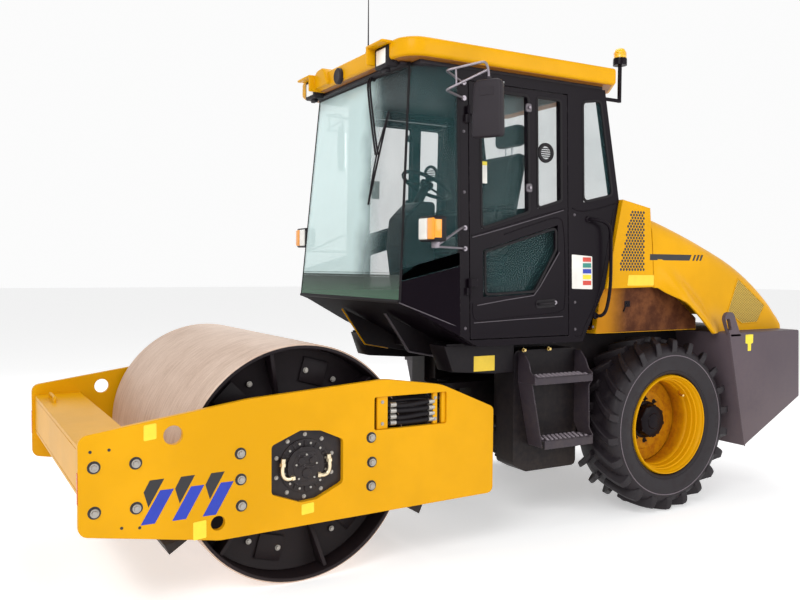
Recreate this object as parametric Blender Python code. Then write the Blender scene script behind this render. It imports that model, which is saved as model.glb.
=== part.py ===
"""Single-drum road roller with a cab: front frame and drum, centre joint, rear frame, cab, hood and two driven wheels.

Metres. +X is the machine's left, -Y its front, +Z up. The floor is z = 0 and the origin lies under the middle.
"""

from math import atan, cos, pi, radians, sin, tan

import bmesh
import bpy
from mathutils import Matrix, Vector

# ---- driving dimensions ---------------------------------------------------------------------------------------

GAP = 0.0003  # between pieces that touch
RUN_GAP = 0.006  # between a moving piece and what it passes
PIN_GAP = 0.0007  # between a pin and the bore that turns on it
WHEELBASE = 2.65
DRUM_Y = -1.42
AXLE_Y = DRUM_Y + WHEELBASE

DRUM_R = 0.61
DRUM_HALF_W = 0.84
DRUM_SHELL_T = 0.025
DRUM_HEAD_X = 0.70  # outer face of the recessed drum head
DRUM_HEAD_T = 0.02
HUB_R = 0.15  # bearing hub that the drum head turns on
ROUND_STEPS = 48

PLATE_X = 0.912  # outer face of the front frame's side plates
PLATE_T = 0.030
PLATE_IN = PLATE_X - PLATE_T

PIVOT_Y = DRUM_Y + 1.40  # steering axis
PIVOT_Z = 0.60  # oscillation axis
PIN_R = 0.040
BOSS_R = 0.11
BOSS_HALF_H = 0.20
LUG_T = 0.04
TRUNNION_R = 0.085

BARREL_X = 0.30  # steering cylinder, base eye
BARREL_DY = 0.42
ROD_X = 0.26  # steering cylinder, rod eye
ROD_DY = -0.22
BARREL_R = 0.042
BARREL_LEN = 0.42
ROD_R = 0.022
EYE_R = 0.042
EYE_H = 0.08
EYE_PIN_R = 0.018

WHEEL_R = 0.575
WHEEL_X = 0.685
TYRE_W = 0.37
RIM_R = 0.335
RIM_HUB_R = 0.06
RIM_DISC_X = 0.60

RAIL_X = 0.36  # inner face of the rear frame's rails
RAIL_T = 0.085
RAIL_TOP = 1.15
DECK_Z = 1.19
DECK_T = 0.02
TANK_X = 0.62
TANK_FRONT = PIVOT_Y + 0.12
TANK_LEN = 0.51
TANK_Z = (0.33, 1.10)
STEP_X = 0.80

CAB_Y = AXLE_Y - 2.0  # foot of the windscreen
CAB_Z = 1.15
CAB_TOP = 2.76
CAB_X = 0.75  # outer face of the cab's side at its foot
CAB_TOP_X = 0.70
CAB_WALL = 0.045
CAB_FLOOR_T = 0.05
GLASS_T = 0.006
SCREEN_FOOT = (0.695, 0.0, 1.413)
SCREEN_HEAD = (0.610, 0.103, 2.763)
QUARTER_Y = 0.38  # front face of the front post
POST_W = 0.065
DOOR_Y = (0.445, 1.20)
DOOR_Z = (1.19, 2.70)
ROOF_X = 0.77
ROOF_Y = (-0.01, 1.70)
ROOF_Z = (2.785, 2.89)
HINGE_PIN_R = 0.009
HINGE_OUT = 0.016
HINGE_H = 0.05

COWL_X = 0.75
COWL_WALL = 0.06
HOOD_X = 0.75
HOOD_WALL = 0.02
FLARE_X = 0.86
HOOD_PIN_R = 0.007
HOOD_PIN_X = 0.40

WEIGHT_X = 0.92
LUG_TOP = 1.32


# ---- helpers --------------------------------------------------------------------------------------------------

def material(name, colour, roughness, metallic=0.0):
    made = bpy.data.materials.new(name)
    made.use_nodes = True
    shader = made.node_tree.nodes["Principled BSDF"]
    shader.inputs["Base Color"].default_value = (*colour, 1.0)
    shader.inputs["Roughness"].default_value = roughness
    shader.inputs["Metallic"].default_value = metallic
    return made


def obj_from(name, bm, paint, location=(0, 0, 0)):
    bmesh.ops.recalc_face_normals(bm, faces=bm.faces)
    mesh = bpy.data.meshes.new(name)
    bm.to_mesh(mesh)
    bm.free()
    made = bpy.data.objects.new(name, mesh)
    made.location = location
    bpy.context.scene.collection.objects.link(made)
    if paint is not None:
        mesh.materials.append(paint)
    return made


def rounded(corners, segments=4):
    """Outline with each corner (a, b, radius) turned into an arc."""
    outline = []
    count = len(corners)
    for index, (a, b, radius) in enumerate(corners):
        here = Vector((a, b))
        if radius == 0:
            outline.append((a, b))
            continue
        before = (Vector(corners[index - 1][:2]) - here).normalized()
        after = (Vector(corners[(index + 1) % count][:2]) - here).normalized()
        half = before.angle(after) / 2
        centre = here + (before + after).normalized() * radius / sin(half)
        start = here + before * radius / tan(half) - centre
        turn = start.angle_signed(here + after * radius / tan(half) - centre)
        for step in range(segments + 1):
            point = centre + Matrix.Rotation(-turn * step / segments, 2) @ start
            outline.append((point.x, point.y))
    return outline


def circle(radius, centre=(0.0, 0.0), steps=ROUND_STEPS):
    return [(centre[0] + radius * cos(2 * pi * k / steps), centre[1] + radius * sin(2 * pi * k / steps))
            for k in range(steps)]


def between(name, first, second, paint, location=(0, 0, 0)):
    """Solid between two matching loops of 3-D points."""
    bm = bmesh.new()
    low = [bm.verts.new(point) for point in first]
    high = [bm.verts.new(point) for point in second]
    bm.faces.new(low)
    bm.faces.new(high)
    for k in range(len(low)):
        after = (k + 1) % len(low)
        bm.faces.new((low[k], low[after], high[after], high[k]))
    return obj_from(name, bm, paint, location)


def prism(name, outline, axis, low, high, paint=None, location=(0, 0, 0)):
    """Outline pushed along an axis: 'x' takes (y, z) points, 'y' takes (x, z) and 'z' takes (x, y)."""
    place = {"x": lambda a, b, c: (c, a, b), "y": lambda a, b, c: (a, c, b), "z": lambda a, b, c: (a, b, c)}[axis]
    return between(name, [place(a, b, low) for a, b in outline], [place(a, b, high) for a, b in outline],
                   paint, location)


def box(name, xs, ys, zs, paint=None, location=(0, 0, 0)):
    outline = [(xs[0], ys[0]), (xs[1], ys[0]), (xs[1], ys[1]), (xs[0], ys[1])]
    return prism(name, outline, "z", zs[0], zs[1], paint, location)


def across(name, outline, half_width, paint):
    """Outline of (y, z) points that reaches half_width(z) to each side."""
    return between(name, [(-half_width(z), y, z) for y, z in outline], [(half_width(z), y, z) for y, z in outline],
                   paint)


def lathe(name, profile, paint=None, location=(0, 0, 0), axis="x", steps=ROUND_STEPS):
    """Closed profile of (along, radius) points turned about an axis through location."""
    bm = bmesh.new()
    ring = [bm.verts.new((along, 0.0, radius)) for along, radius in profile]
    edges = [bm.edges.new((ring[k], ring[(k + 1) % len(ring)])) for k in range(len(ring))]
    bmesh.ops.spin(bm, geom=ring + edges, axis=(1, 0, 0), cent=(0, 0, 0), angle=2 * pi, steps=steps,
                   use_merge=True, use_duplicate=False)
    bmesh.ops.remove_doubles(bm, verts=bm.verts, dist=1e-6)
    turn = {"x": Matrix(), "y": Matrix.Rotation(pi / 2, 3, "Z"), "z": Matrix.Rotation(-pi / 2, 3, "Y")}[axis]
    bmesh.ops.transform(bm, matrix=turn.to_4x4(), verts=bm.verts)
    return obj_from(name, bm, paint, location)


def rod(name, start, end, radius, paint=None, steps=24):
    """Straight round bar from start to end."""
    start, end = Vector(start), Vector(end)
    turn = (end - start).to_track_quat("Z", "Y").to_matrix()
    ring = [turn @ Vector((x, y, 0)) for x, y in circle(radius, steps=steps)]
    return between(name, [start + p for p in ring], [end + p for p in ring], paint)


def tube(name, points, radius, paint=None, steps=12):
    """Round bar bent through the points, as a mesh."""
    points = [Vector(p) for p in points]
    tangents = [(points[min(k + 1, len(points) - 1)] - points[max(k - 1, 0)]).normalized()
                for k in range(len(points))]
    turn = tangents[0].to_track_quat("Z", "Y")
    bm = bmesh.new()
    rings = []
    for k, point in enumerate(points):
        if k:
            turn = tangents[k - 1].rotation_difference(tangents[k]) @ turn
        rings.append([bm.verts.new(point + turn @ Vector((x, y, 0))) for x, y in circle(radius, steps=steps)])
    for first, second in zip(rings, rings[1:]):
        for k in range(steps):
            bm.faces.new((first[k], first[(k + 1) % steps], second[(k + 1) % steps], second[k]))
    bm.faces.new(rings[0])
    bm.faces.new(rings[-1])
    return obj_from(name, bm, paint)


def smooth_curve(points, per_span=4):
    """Catmull-Rom curve through the points."""
    points = [Vector(p) for p in points]
    ends = [2 * points[0] - points[1]] + points + [2 * points[-1] - points[-2]]
    curve = []
    for a, b, c, d in zip(ends, ends[1:], ends[2:], ends[3:]):
        for step in range(per_span):
            t = step / per_span
            curve.append(0.5 * (2 * b + (c - a) * t + (2 * a - 5 * b + 4 * c - d) * t * t
                                + (3 * b - a - 3 * c + d) * t ** 3))
    return curve + [points[-1]]


def combine(target, tool, operation):
    tool.hide_render = True
    tool.display_type = "WIRE"
    cut_mod = target.modifiers.new(operation.title(), "BOOLEAN")
    cut_mod.operation = operation
    cut_mod.object = tool
    cut_mod.solver = "EXACT"
    return target


def cut(target, *tools):
    for tool in tools:
        combine(target, tool, "DIFFERENCE")
    return target


def fuse(target, *tools):
    for tool in tools:
        combine(target, tool, "UNION")
    return target


def place_origin(obj, origin):
    """Moves the origin without moving the shape."""
    shift = obj.matrix_world.inverted() @ Vector(origin) if obj.rotation_euler.y else Vector(origin) - obj.location
    obj.data.transform(Matrix.Translation(-shift))
    obj.location = origin


SIDES = (("left", 1), ("right", -1))


# ---- materials ------------------------------------------------------------------------------------------------

def make_paints():
    return {
        "yellow": material("yellow_paint", (0.86, 0.50, 0.02), 0.35),
        "black": material("black_paint", (0.022, 0.020, 0.025), 0.45),
        "grey": material("grey_paint", (0.075, 0.07, 0.08), 0.5),
        "drum": material("drum_steel", (0.30, 0.24, 0.19), 0.6, 0.6),
        "steel": material("bright_steel", (0.6, 0.6, 0.6), 0.25, 1.0),
        "tyre": material("tyre_rubber", (0.02, 0.019, 0.02), 0.85),
        "glass": material("tinted_glass", (0.55, 0.75, 0.72), 0.05),
        "plastic": material("black_plastic", (0.03, 0.03, 0.033), 0.55),
        "seat": material("seat_cloth", (0.04, 0.045, 0.05), 0.9),
        "amber": material("amber_lens", (0.95, 0.40, 0.02), 0.2),
        "lens": material("lamp_lens", (0.9, 0.9, 0.88), 0.1),
        "rubber": material("hose_rubber", (0.018, 0.018, 0.02), 0.6),
    }


# ---- front frame ----------------------------------------------------------------------------------------------

PLATE_CORNERS = ((-1.082, 0.860, 0.045), (-0.30, 0.972, 0.5), (0.45, 1.022, 0.35), (0.80, 0.972, 0.25),
                 (1.150, 0.822, 0.035), (1.150, 0.331, 0.035), (-0.449, 0.306, 0.15), (-1.082, 0.418, 0.045))
MOTOR_OPENING = ((-0.187, 0.732, 0.02), (-0.034, 0.795, 0.02), (0.075, 0.785, 0.02), (0.202, 0.728, 0.02),
                 (0.202, 0.505, 0.02), (0.055, 0.438, 0.02), (-0.034, 0.432, 0.02), (-0.187, 0.490, 0.02))
HOSE_WINDOW = ((0.383, 0.756, 0.01), (0.833, 0.756, 0.01), (0.833, 0.93, 0.01), (0.383, 0.93, 0.01))
LIFT_HOLE = (-0.666, 0.831, 0.045)
DRAIN_HOLE = (-0.456, 0.39, 0.035)


def shifted(points, dy):
    return [(point[0] + dy, *point[1:]) for point in points]


def front_side_plate(side_name, side, paint):
    faces = sorted((side * PLATE_IN, side * PLATE_X))
    through = (faces[0] - 0.02, faces[1] + 0.02)
    plate = prism(f"front_side_plate_{side_name}", rounded(shifted(PLATE_CORNERS, DRUM_Y)), "x", *faces, paint)
    cut(plate, prism(f"motor_opening_cut_{side_name}", rounded(shifted(MOTOR_OPENING, DRUM_Y), 2), "x", *through),
        prism(f"hose_window_cut_{side_name}", rounded(shifted(HOSE_WINDOW, DRUM_Y), 2), "x", *through))
    for number, (y, z, radius) in enumerate((LIFT_HOLE, DRAIN_HOLE)):
        cut(plate, prism(f"round_hole_cut_{side_name}_{number}", circle(radius, (DRUM_Y + y, z), 24), "x", *through))
    return plate


def front_frame(paints):
    reach = PLATE_IN - GAP
    for side_name, side in SIDES:
        front_side_plate(side_name, side, paints["yellow"])
    front = ((-1.065, 0.80), (-0.80, 0.80), (-0.80, 0.62), (-0.90, 0.50), (-1.0, 0.50), (-1.065, 0.57))
    prism("front_cross_beam", shifted(front, DRUM_Y), "x", -reach, reach, paints["yellow"])
    rear = rounded(shifted(((0.72, 0.84, 0.03), (0.98, 0.84, 0.03), (0.98, 0.38, 0.03), (0.72, 0.38, 0.03)), DRUM_Y))
    beam = prism("rear_cross_beam", rear, "x", -reach, reach, paints["black"])
    cut(beam, prism("trunnion_bore_cut", circle(TRUNNION_R + PIN_GAP, (0, PIVOT_Z)), "y",
                    DRUM_Y + 0.6, DRUM_Y + 1.1))
    for name, direction in (("front_scraper", -1), ("rear_scraper", 1)):
        scraper(name, direction, reach, paints["black"])
    for side_name, side in SIDES:
        drum_carrier(side_name, side, paints["black"])
    drum_hoses(paints["rubber"])


SCRAPER_GAP = 0.012
SCRAPER_ANGLE = radians(25)
SCRAPER_REACH = 0.15


def scraper(name, direction, reach, paint):
    """Blade along the drum, a little below its middle, on a radius."""
    outline = []
    for radius, half in ((DRUM_R + SCRAPER_GAP, 0.004), (DRUM_R + SCRAPER_GAP, -0.004),
                         (DRUM_R + SCRAPER_REACH, -0.025), (DRUM_R + SCRAPER_REACH, 0.025)):
        y = radius * cos(SCRAPER_ANGLE) + half * sin(SCRAPER_ANGLE)
        z = DRUM_R - radius * sin(SCRAPER_ANGLE) + half * cos(SCRAPER_ANGLE)
        outline.append((DRUM_Y + direction * y, z))
    prism(name, outline, "x", -reach, reach, paint)


CARRIER_T = 0.02
CARRIER_HALF_Y = 0.40
CARRIER_Z = (0.42, 0.80)
MOTOR_R = 0.10
MOTOR_OUT = 0.905


def drum_carrier(side_name, side, paint):
    """Bolted carrier plate, bearing hub into the drum head and drive motor in the plate's opening."""
    outer = PLATE_IN - GAP
    hub_end = DRUM_HEAD_X - DRUM_HEAD_T - 0.01
    carrier = box(f"drum_carrier_{side_name}", sorted((side * outer, side * (outer - CARRIER_T))),
                  (DRUM_Y - CARRIER_HALF_Y, DRUM_Y + CARRIER_HALF_Y), CARRIER_Z, paint)
    middle = (DRUM_Y, DRUM_R)
    fuse(carrier,
         prism(f"hub_{side_name}", circle(HUB_R, middle), "x", *sorted((side * hub_end, side * (outer - 0.005)))),
         prism(f"motor_{side_name}", circle(MOTOR_R, middle, 24), "x",
               *sorted((side * (outer - 0.01), side * MOTOR_OUT))))
    return carrier


HOSE_R = 0.011
HOSE_X = PLATE_IN - 0.021
HOSE_ROUTES = (
    ((0.86, 0.853), (0.80, 0.875), (0.66, 0.895), (0.50, 0.893), (0.34, 0.885), (0.22, 0.865), (0.15, 0.83),
     (0.135, 0.80)),
    ((0.92, 0.853), (0.88, 0.93), (0.76, 0.945), (0.60, 0.938), (0.40, 0.935), (0.20, 0.92), (0.06, 0.88),
     (0.03, 0.80)),
)


def drum_hoses(paint):
    """Two drive hoses from the rear beam forward to the left drum motor, in the gap beside the drum."""
    beam_top, carrier_top = 0.84, CARRIER_Z[1]
    for number, route in enumerate(HOSE_ROUTES, 1):
        points = [(HOSE_X, DRUM_Y + y, z) for y, z in route]
        points[0] = (HOSE_X, points[0][1], beam_top + GAP)
        points[-1] = (HOSE_X, points[-1][1], carrier_top + GAP)
        curve = smooth_curve(points, 3)
        curve[0].z = beam_top + GAP
        tube(f"drum_hose_{number}", [curve[0], curve[0] + Vector((0, 0, 0.006))] + curve[2:-1]
             + [curve[-1] + Vector((0, 0, 0.006)), curve[-1]], HOSE_R, paint, 8)


def drum(paint):
    """Shell with a recessed head at each end, open at the hub so that the inside isn't sealed."""
    inner = DRUM_R - DRUM_SHELL_T
    bore = HUB_R + PIN_GAP
    head_in = DRUM_HEAD_X - DRUM_HEAD_T
    profile = ((-DRUM_HALF_W, inner), (-DRUM_HALF_W, DRUM_R), (DRUM_HALF_W, DRUM_R), (DRUM_HALF_W, inner),
               (DRUM_HEAD_X, inner), (DRUM_HEAD_X, bore), (head_in, bore), (head_in, inner),
               (-head_in, inner), (-head_in, bore), (-DRUM_HEAD_X, bore), (-DRUM_HEAD_X, inner))
    return lathe("drum", profile, paint, (0, DRUM_Y, DRUM_R))


# ---- centre joint and steering --------------------------------------------------------------------------------

def centre_joint(paints):
    """Yoke: a trunnion that the front frame rocks on, an upright boss on the steering pin, and an arm each side."""
    boss = prism("centre_yoke", circle(BOSS_R, (0, PIVOT_Y)), "z", PIVOT_Z - BOSS_HALF_H, PIVOT_Z + BOSS_HALF_H,
                 paints["grey"])
    neck_front = DRUM_Y + 0.98 + RUN_GAP
    arm_top = PIVOT_Z - EYE_H / 2 - RUN_GAP
    fuse(boss, box("yoke_neck", (-0.085, 0.085), (neck_front, PIVOT_Y - 0.05), (PIVOT_Z - 0.15, PIVOT_Z + 0.15)),
         prism("yoke_trunnion", circle(TRUNNION_R, (0, PIVOT_Z)), "y", DRUM_Y + 0.70, neck_front + 0.02),
         box("yoke_arms", (-ROD_X - 0.05, ROD_X + 0.05), (PIVOT_Y + ROD_DY - 0.06, PIVOT_Y + ROD_DY + 0.06),
             (arm_top - 0.04, arm_top)))
    cut(boss, prism("steering_bore_cut", circle(PIN_R + PIN_GAP, (0, PIVOT_Y), 32), "z", 0.2, 1.0))
    place_origin(boss, (0, PIVOT_Y, PIVOT_Z))
    for side_name, side in SIDES:
        steering_cylinder(side_name, side, paints)


def steering_cylinder(side_name, side, paints):
    base = Vector((side * BARREL_X, PIVOT_Y + BARREL_DY, PIVOT_Z))
    eye = Vector((side * ROD_X, PIVOT_Y + ROD_DY, PIVOT_Z))
    along = (eye - base).normalized()
    length = (eye - base).length
    half = Vector((0, 0, EYE_H / 2))
    barrel = rod(f"steering_barrel_{side_name}", base + along * 0.03, base + along * BARREL_LEN, BARREL_R,
                 paints["black"])
    bore_start = base + along * 0.09
    fuse(barrel, rod(f"barrel_eye_{side_name}", base - half, base + half, EYE_R))
    cut(barrel, rod(f"barrel_eye_cut_{side_name}", base - 2 * half, base + 2 * half, EYE_PIN_R + PIN_GAP),
        rod(f"rod_bore_cut_{side_name}", bore_start, base + along * (BARREL_LEN + 0.05), ROD_R + GAP))
    place_origin(barrel, base)
    piston = rod(f"steering_rod_{side_name}", base + along * 0.25, base + along * (length - 0.02), ROD_R,
                 paints["steel"])
    fuse(piston, rod(f"rod_eye_{side_name}", eye - half, eye + half, EYE_R))
    place_origin(piston, eye)


# ---- rear frame -----------------------------------------------------------------------------------------------

WEIGHT_FRONT = ((0.485, 1.176), (0.665, 0.375))  # front face of the counterweight, from the axle
RAIL_BOTTOM = 0.45
RAIL_ARCH_Z = 0.70
NOSE_X = 0.13
CROSS_Y = PIVOT_Y + 0.52
CYLINDER_POCKET = 0.025  # how far each rail is cut back where its cylinder swings out


def weight_front_y(z):
    (top_y, top_z), (foot_y, foot_z) = WEIGHT_FRONT
    return AXLE_Y + top_y + (top_z - z) / (top_z - foot_z) * (foot_y - top_y)


def rear_chassis(paint):
    """Two rails joined by a cross member, with the pivot lugs in front and the steering cylinders' pins."""
    step_y = AXLE_Y - 0.61
    rail = [(PIVOT_Y + 0.16, RAIL_TOP - GAP), (PIVOT_Y + 0.16, RAIL_BOTTOM), (AXLE_Y - 0.35, RAIL_BOTTOM),
            (AXLE_Y - 0.20, RAIL_ARCH_Z), (weight_front_y(RAIL_ARCH_Z) - GAP, RAIL_ARCH_Z),
            (weight_front_y(DECK_Z) - GAP, DECK_Z - GAP), (step_y, DECK_Z - GAP), (step_y, RAIL_TOP - GAP)]
    frame = prism("rear_chassis", rail, "x", RAIL_X, RAIL_X + RAIL_T, paint)
    fuse(frame, prism("other_rail", rail, "x", -RAIL_X - RAIL_T, -RAIL_X),
         box("cross_member", (-RAIL_X - 0.01, RAIL_X + 0.01), (CROSS_Y, CROSS_Y + 0.08), (0.46, 1.10)),
         box("rear_cross_member", (-RAIL_X - 0.01, RAIL_X + 0.01), (AXLE_Y + 0.40, AXLE_Y + 0.46), (0.71, 0.95)))
    lug_low = PIVOT_Z - BOSS_HALF_H - 0.005 - LUG_T
    lug_high = PIVOT_Z + BOSS_HALF_H + 0.005
    fuse(frame, box("nose_block", (-NOSE_X, NOSE_X), (PIVOT_Y + 0.14, CROSS_Y + 0.01), (lug_low, lug_high + LUG_T)))
    for number, low in enumerate((lug_low, lug_high)):
        lug = rounded([(-NOSE_X, PIVOT_Y + 0.16, 0), (NOSE_X, PIVOT_Y + 0.16, 0),
                       (NOSE_X, PIVOT_Y - NOSE_X, 0.12), (-NOSE_X, PIVOT_Y - NOSE_X, 0.12)])
        fuse(frame, prism(f"pivot_lug_{number}", lug, "z", low, low + LUG_T))
    shelf_top = PIVOT_Z - EYE_H / 2 - RUN_GAP
    for side_name, side in SIDES:
        x = side * BARREL_X
        fuse(frame, box(f"cylinder_shelf_{side_name}", (x - 0.045, x + 0.045),
                        (PIVOT_Y + BARREL_DY - 0.05, CROSS_Y + 0.01), (shelf_top - 0.03, shelf_top)),
             prism(f"cylinder_pin_{side_name}", circle(EYE_PIN_R, (x, PIVOT_Y + BARREL_DY), 24), "z",
                   shelf_top - 0.01, PIVOT_Z + EYE_H / 2 + 0.012))
        pocket = sorted((side * (RAIL_X - 0.005), side * (RAIL_X + CYLINDER_POCKET)))
        cut(frame, box(f"cylinder_pocket_cut_{side_name}", pocket, (PIVOT_Y + 0.10, PIVOT_Y + BARREL_DY),
                       (PIVOT_Z - BARREL_R - 0.013, PIVOT_Z + BARREL_R + 0.013)))
    fuse(frame, prism("articulation_pin", circle(PIN_R, (0, PIVOT_Y), 32), "z", lug_low - 0.01,
                      lug_high + LUG_T + 0.01))
    return frame


def axle(paint):
    """Axle tube with a differential bulge and a spindle into each wheel, hung under the rails."""
    housing_end = RIM_DISC_X - 0.012
    spindle_end = RIM_DISC_X + 0.05
    profile = [(-spindle_end, 0.0), (-spindle_end, RIM_HUB_R), (-housing_end, RIM_HUB_R), (-housing_end, 0.13),
               (-housing_end + 0.06, 0.13), (-housing_end + 0.06, 0.09), (-0.22, 0.09), (-0.12, 0.17),
               (0.12, 0.17), (0.22, 0.09), (housing_end - 0.06, 0.09), (housing_end - 0.06, 0.13),
               (housing_end, 0.13), (housing_end, RIM_HUB_R), (spindle_end, RIM_HUB_R), (spindle_end, 0.0)]
    housing = lathe("axle_housing", profile, paint, (0, AXLE_Y, WHEEL_R), steps=32)
    for side_name, side in SIDES:
        pad = sorted((side * RAIL_X, side * (RAIL_X + RAIL_T)))
        fuse(housing, box(f"axle_pad_{side_name}", pad, (-0.08, 0.08), (0.05, RAIL_ARCH_Z - GAP - WHEEL_R), None,
                          (0, AXLE_Y, WHEEL_R)))


def wheels(paints):
    half = TYRE_W / 2
    for side_name, side in SIDES:
        tyre = ((-half + 0.03, RIM_R), (-half, 0.46), (-half + 0.015, 0.55), (-half + 0.06, WHEEL_R),
                (half - 0.06, WHEEL_R), (half - 0.015, 0.55), (half, 0.46), (half - 0.03, RIM_R))
        centre = (side * WHEEL_X, AXLE_Y, WHEEL_R)
        lathe(f"tyre_{side_name}", [(x * side, r) for x, r in tyre], paints["tyre"], centre)
        bore = RIM_HUB_R + PIN_GAP
        disc = RIM_DISC_X - WHEEL_X
        seat = RIM_R - GAP
        rim = ((-half + 0.03, seat), (half - 0.015, seat), (half - 0.015, seat - 0.03), (disc + 0.02, seat - 0.05),
               (disc + 0.02, 0.13), (disc + 0.10, 0.11), (disc + 0.10, 0.0), (disc + 0.06, 0.0),
               (disc + 0.06, bore), (disc, bore), (disc, seat - 0.05), (-half + 0.03, seat - 0.02))
        lathe(f"rim_{side_name}", [(x * side, r) for x, r in rim], paints["yellow"], centre)


def counterweight(paints):
    (top_y, top_z), (foot_y, foot_z) = WEIGHT_FRONT
    side_view = ((top_y, top_z), (foot_y, foot_z), (1.27, 0.687), (1.25, top_z))
    weight = prism("counterweight", shifted(side_view, AXLE_Y), "x", -WEIGHT_X, WEIGHT_X, paints["grey"])
    lug = rounded(shifted(((0.61, top_z - 0.03, 0), (0.495, top_z - 0.03, 0), (0.415, LUG_TOP, 0.045),
                           (0.525, LUG_TOP, 0.045)), AXLE_Y), 5)
    for side_name, side in SIDES:
        plate = prism(f"weight_lug_{side_name}", lug, "x", *sorted((side * (WEIGHT_X - 0.03), side * WEIGHT_X)))
        slot = rounded(shifted(((0.515, 1.195, 0.014), (0.475, 1.195, 0.014), (0.448, 1.275, 0.014),
                                (0.488, 1.275, 0.014)), AXLE_Y))
        fuse(weight, plate)
        cut(weight, prism(f"weight_slot_cut_{side_name}", slot, "x", *sorted((side * 0.8, side))))


def tanks_and_steps(paints):
    back = TANK_FRONT + TANK_LEN
    wall = 0.008
    for side_name, side in SIDES:
        name = {"left": "fuel_tank", "right": "hydraulic_tank"}[side_name]
        inner = RAIL_X + RAIL_T + GAP
        outline = rounded([(TANK_FRONT, TANK_Z[1], 0.03), (TANK_FRONT, TANK_Z[0] + 0.05, 0.03),
                           (TANK_FRONT + 0.1, TANK_Z[0], 0.03), (back, TANK_Z[0], 0.03), (back, TANK_Z[1], 0.03)], 2)
        prism(name, outline, "x", *sorted((side * inner, side * TANK_X)), paints["black"])
        foot = TANK_X + GAP
        upper = [(foot, 1.09), (0.69, 1.09), (0.74, 0.97), (STEP_X - 0.01, 0.95), (STEP_X - 0.01, 0.90), (foot, 0.90)]
        rear_plate = upper[:-1] + [(0.755, 0.87), (0.765, 0.60), (STEP_X, 0.56), (STEP_X, 0.50), (foot, 0.50)]
        front, rear = TANK_FRONT + 0.03, back - 0.012
        low_front = front + 0.085
        step = prism(f"step_{side_name}", [(side * x, z) for x, z in upper], "y", front, front + wall, paints["grey"])
        leaning = [(front, 0.905), (low_front, 0.50), (low_front + wall, 0.50), (front + wall, 0.905)]
        fuse(step, prism(f"step_rear_plate_{side_name}", [(side * x, z) for x, z in rear_plate], "y",
                         rear - wall, rear),
             prism(f"step_leaning_plate_{side_name}", leaning, "x", *sorted((side * foot, side * 0.76))))
        for number, (top, depth, start) in enumerate(((0.95, 0.05, front), (0.56, 0.06, low_front - 0.012))):
            fuse(step, box(f"step_tread_{side_name}_{number}",
                           sorted((side * (foot + 0.03), side * (STEP_X - 0.011 + 0.01 * number))),
                           (start + 0.001, rear - 0.001), (top - depth, top)))


def engine(paint):
    box("engine_block", (-RAIL_X + GAP, RAIL_X - GAP), (AXLE_Y - 0.15, AXLE_Y + 0.39), (0.86, 1.50), paint)


# ---- cab ------------------------------------------------------------------------------------------------------

TILT = atan((CAB_X - CAB_TOP_X) / (CAB_TOP - CAB_Z))
SIDE_OUTLINE = ((QUARTER_Y, CAB_TOP), (QUARTER_Y, 1.215), (0.50, CAB_Z), (1.31, CAB_Z), (1.50, 1.485),
                (1.63, 2.06), (1.515, CAB_TOP))
REAR_SIDE_WINDOW = ((1.325, 2.03), (1.325, 2.665), (1.475, 2.69), (1.575, 2.09))
DOOR_WINDOWS = (
    ((0.535, 1.84), (0.535, 2.655), (0.89, 2.655), (0.89, 1.955)),
    ((0.955, 1.975), (0.955, 2.655), (1.145, 2.655), (1.145, 2.035)),
    ((0.545, 1.44), (0.545, 1.715), (1.115, 1.88), (1.115, 1.71), (0.93, 1.455)),
)
HINGE_ZS = (1.50, 2.50)


def cab_inner(z):
    """Half the clear width between the cab's side walls at height z."""
    return CAB_X - CAB_WALL / cos(TILT) - (z - CAB_Z) * tan(TILT) - GAP


def in_side(name, outline, side, depths, paint=None):
    """Piece in the plane of a cab side; depths run outwards from the outer face, and heights up the wall."""
    points = [(CAB_Y + y, (z - CAB_Z) / cos(TILT)) for y, z in outline]
    made = prism(name, points, "x", *sorted((side * depths[0], side * depths[1])), paint)
    made.location = (side * CAB_X, 0, CAB_Z)
    made.rotation_euler = (0, -side * TILT, 0)
    return made


def hinge_point(side):
    """Foot of the door's hinge axis, in world coordinates."""
    return Vector((side * (CAB_X + HINGE_OUT * cos(TILT)), CAB_Y + DOOR_Y[0] - 0.004,
                   CAB_Z + HINGE_OUT * sin(TILT)))


def up_side(side):
    return Vector((-side * sin(TILT), 0, cos(TILT)))


def inset_outline(outline, margin):
    middle_y = sum(point[0] for point in outline) / len(outline)
    middle_z = sum(point[1] for point in outline) / len(outline)
    grown = []
    for y, z in outline:
        grown.append((y + (margin if y < middle_y else -margin), z + (margin if z < middle_z else -margin)))
    return grown


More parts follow.
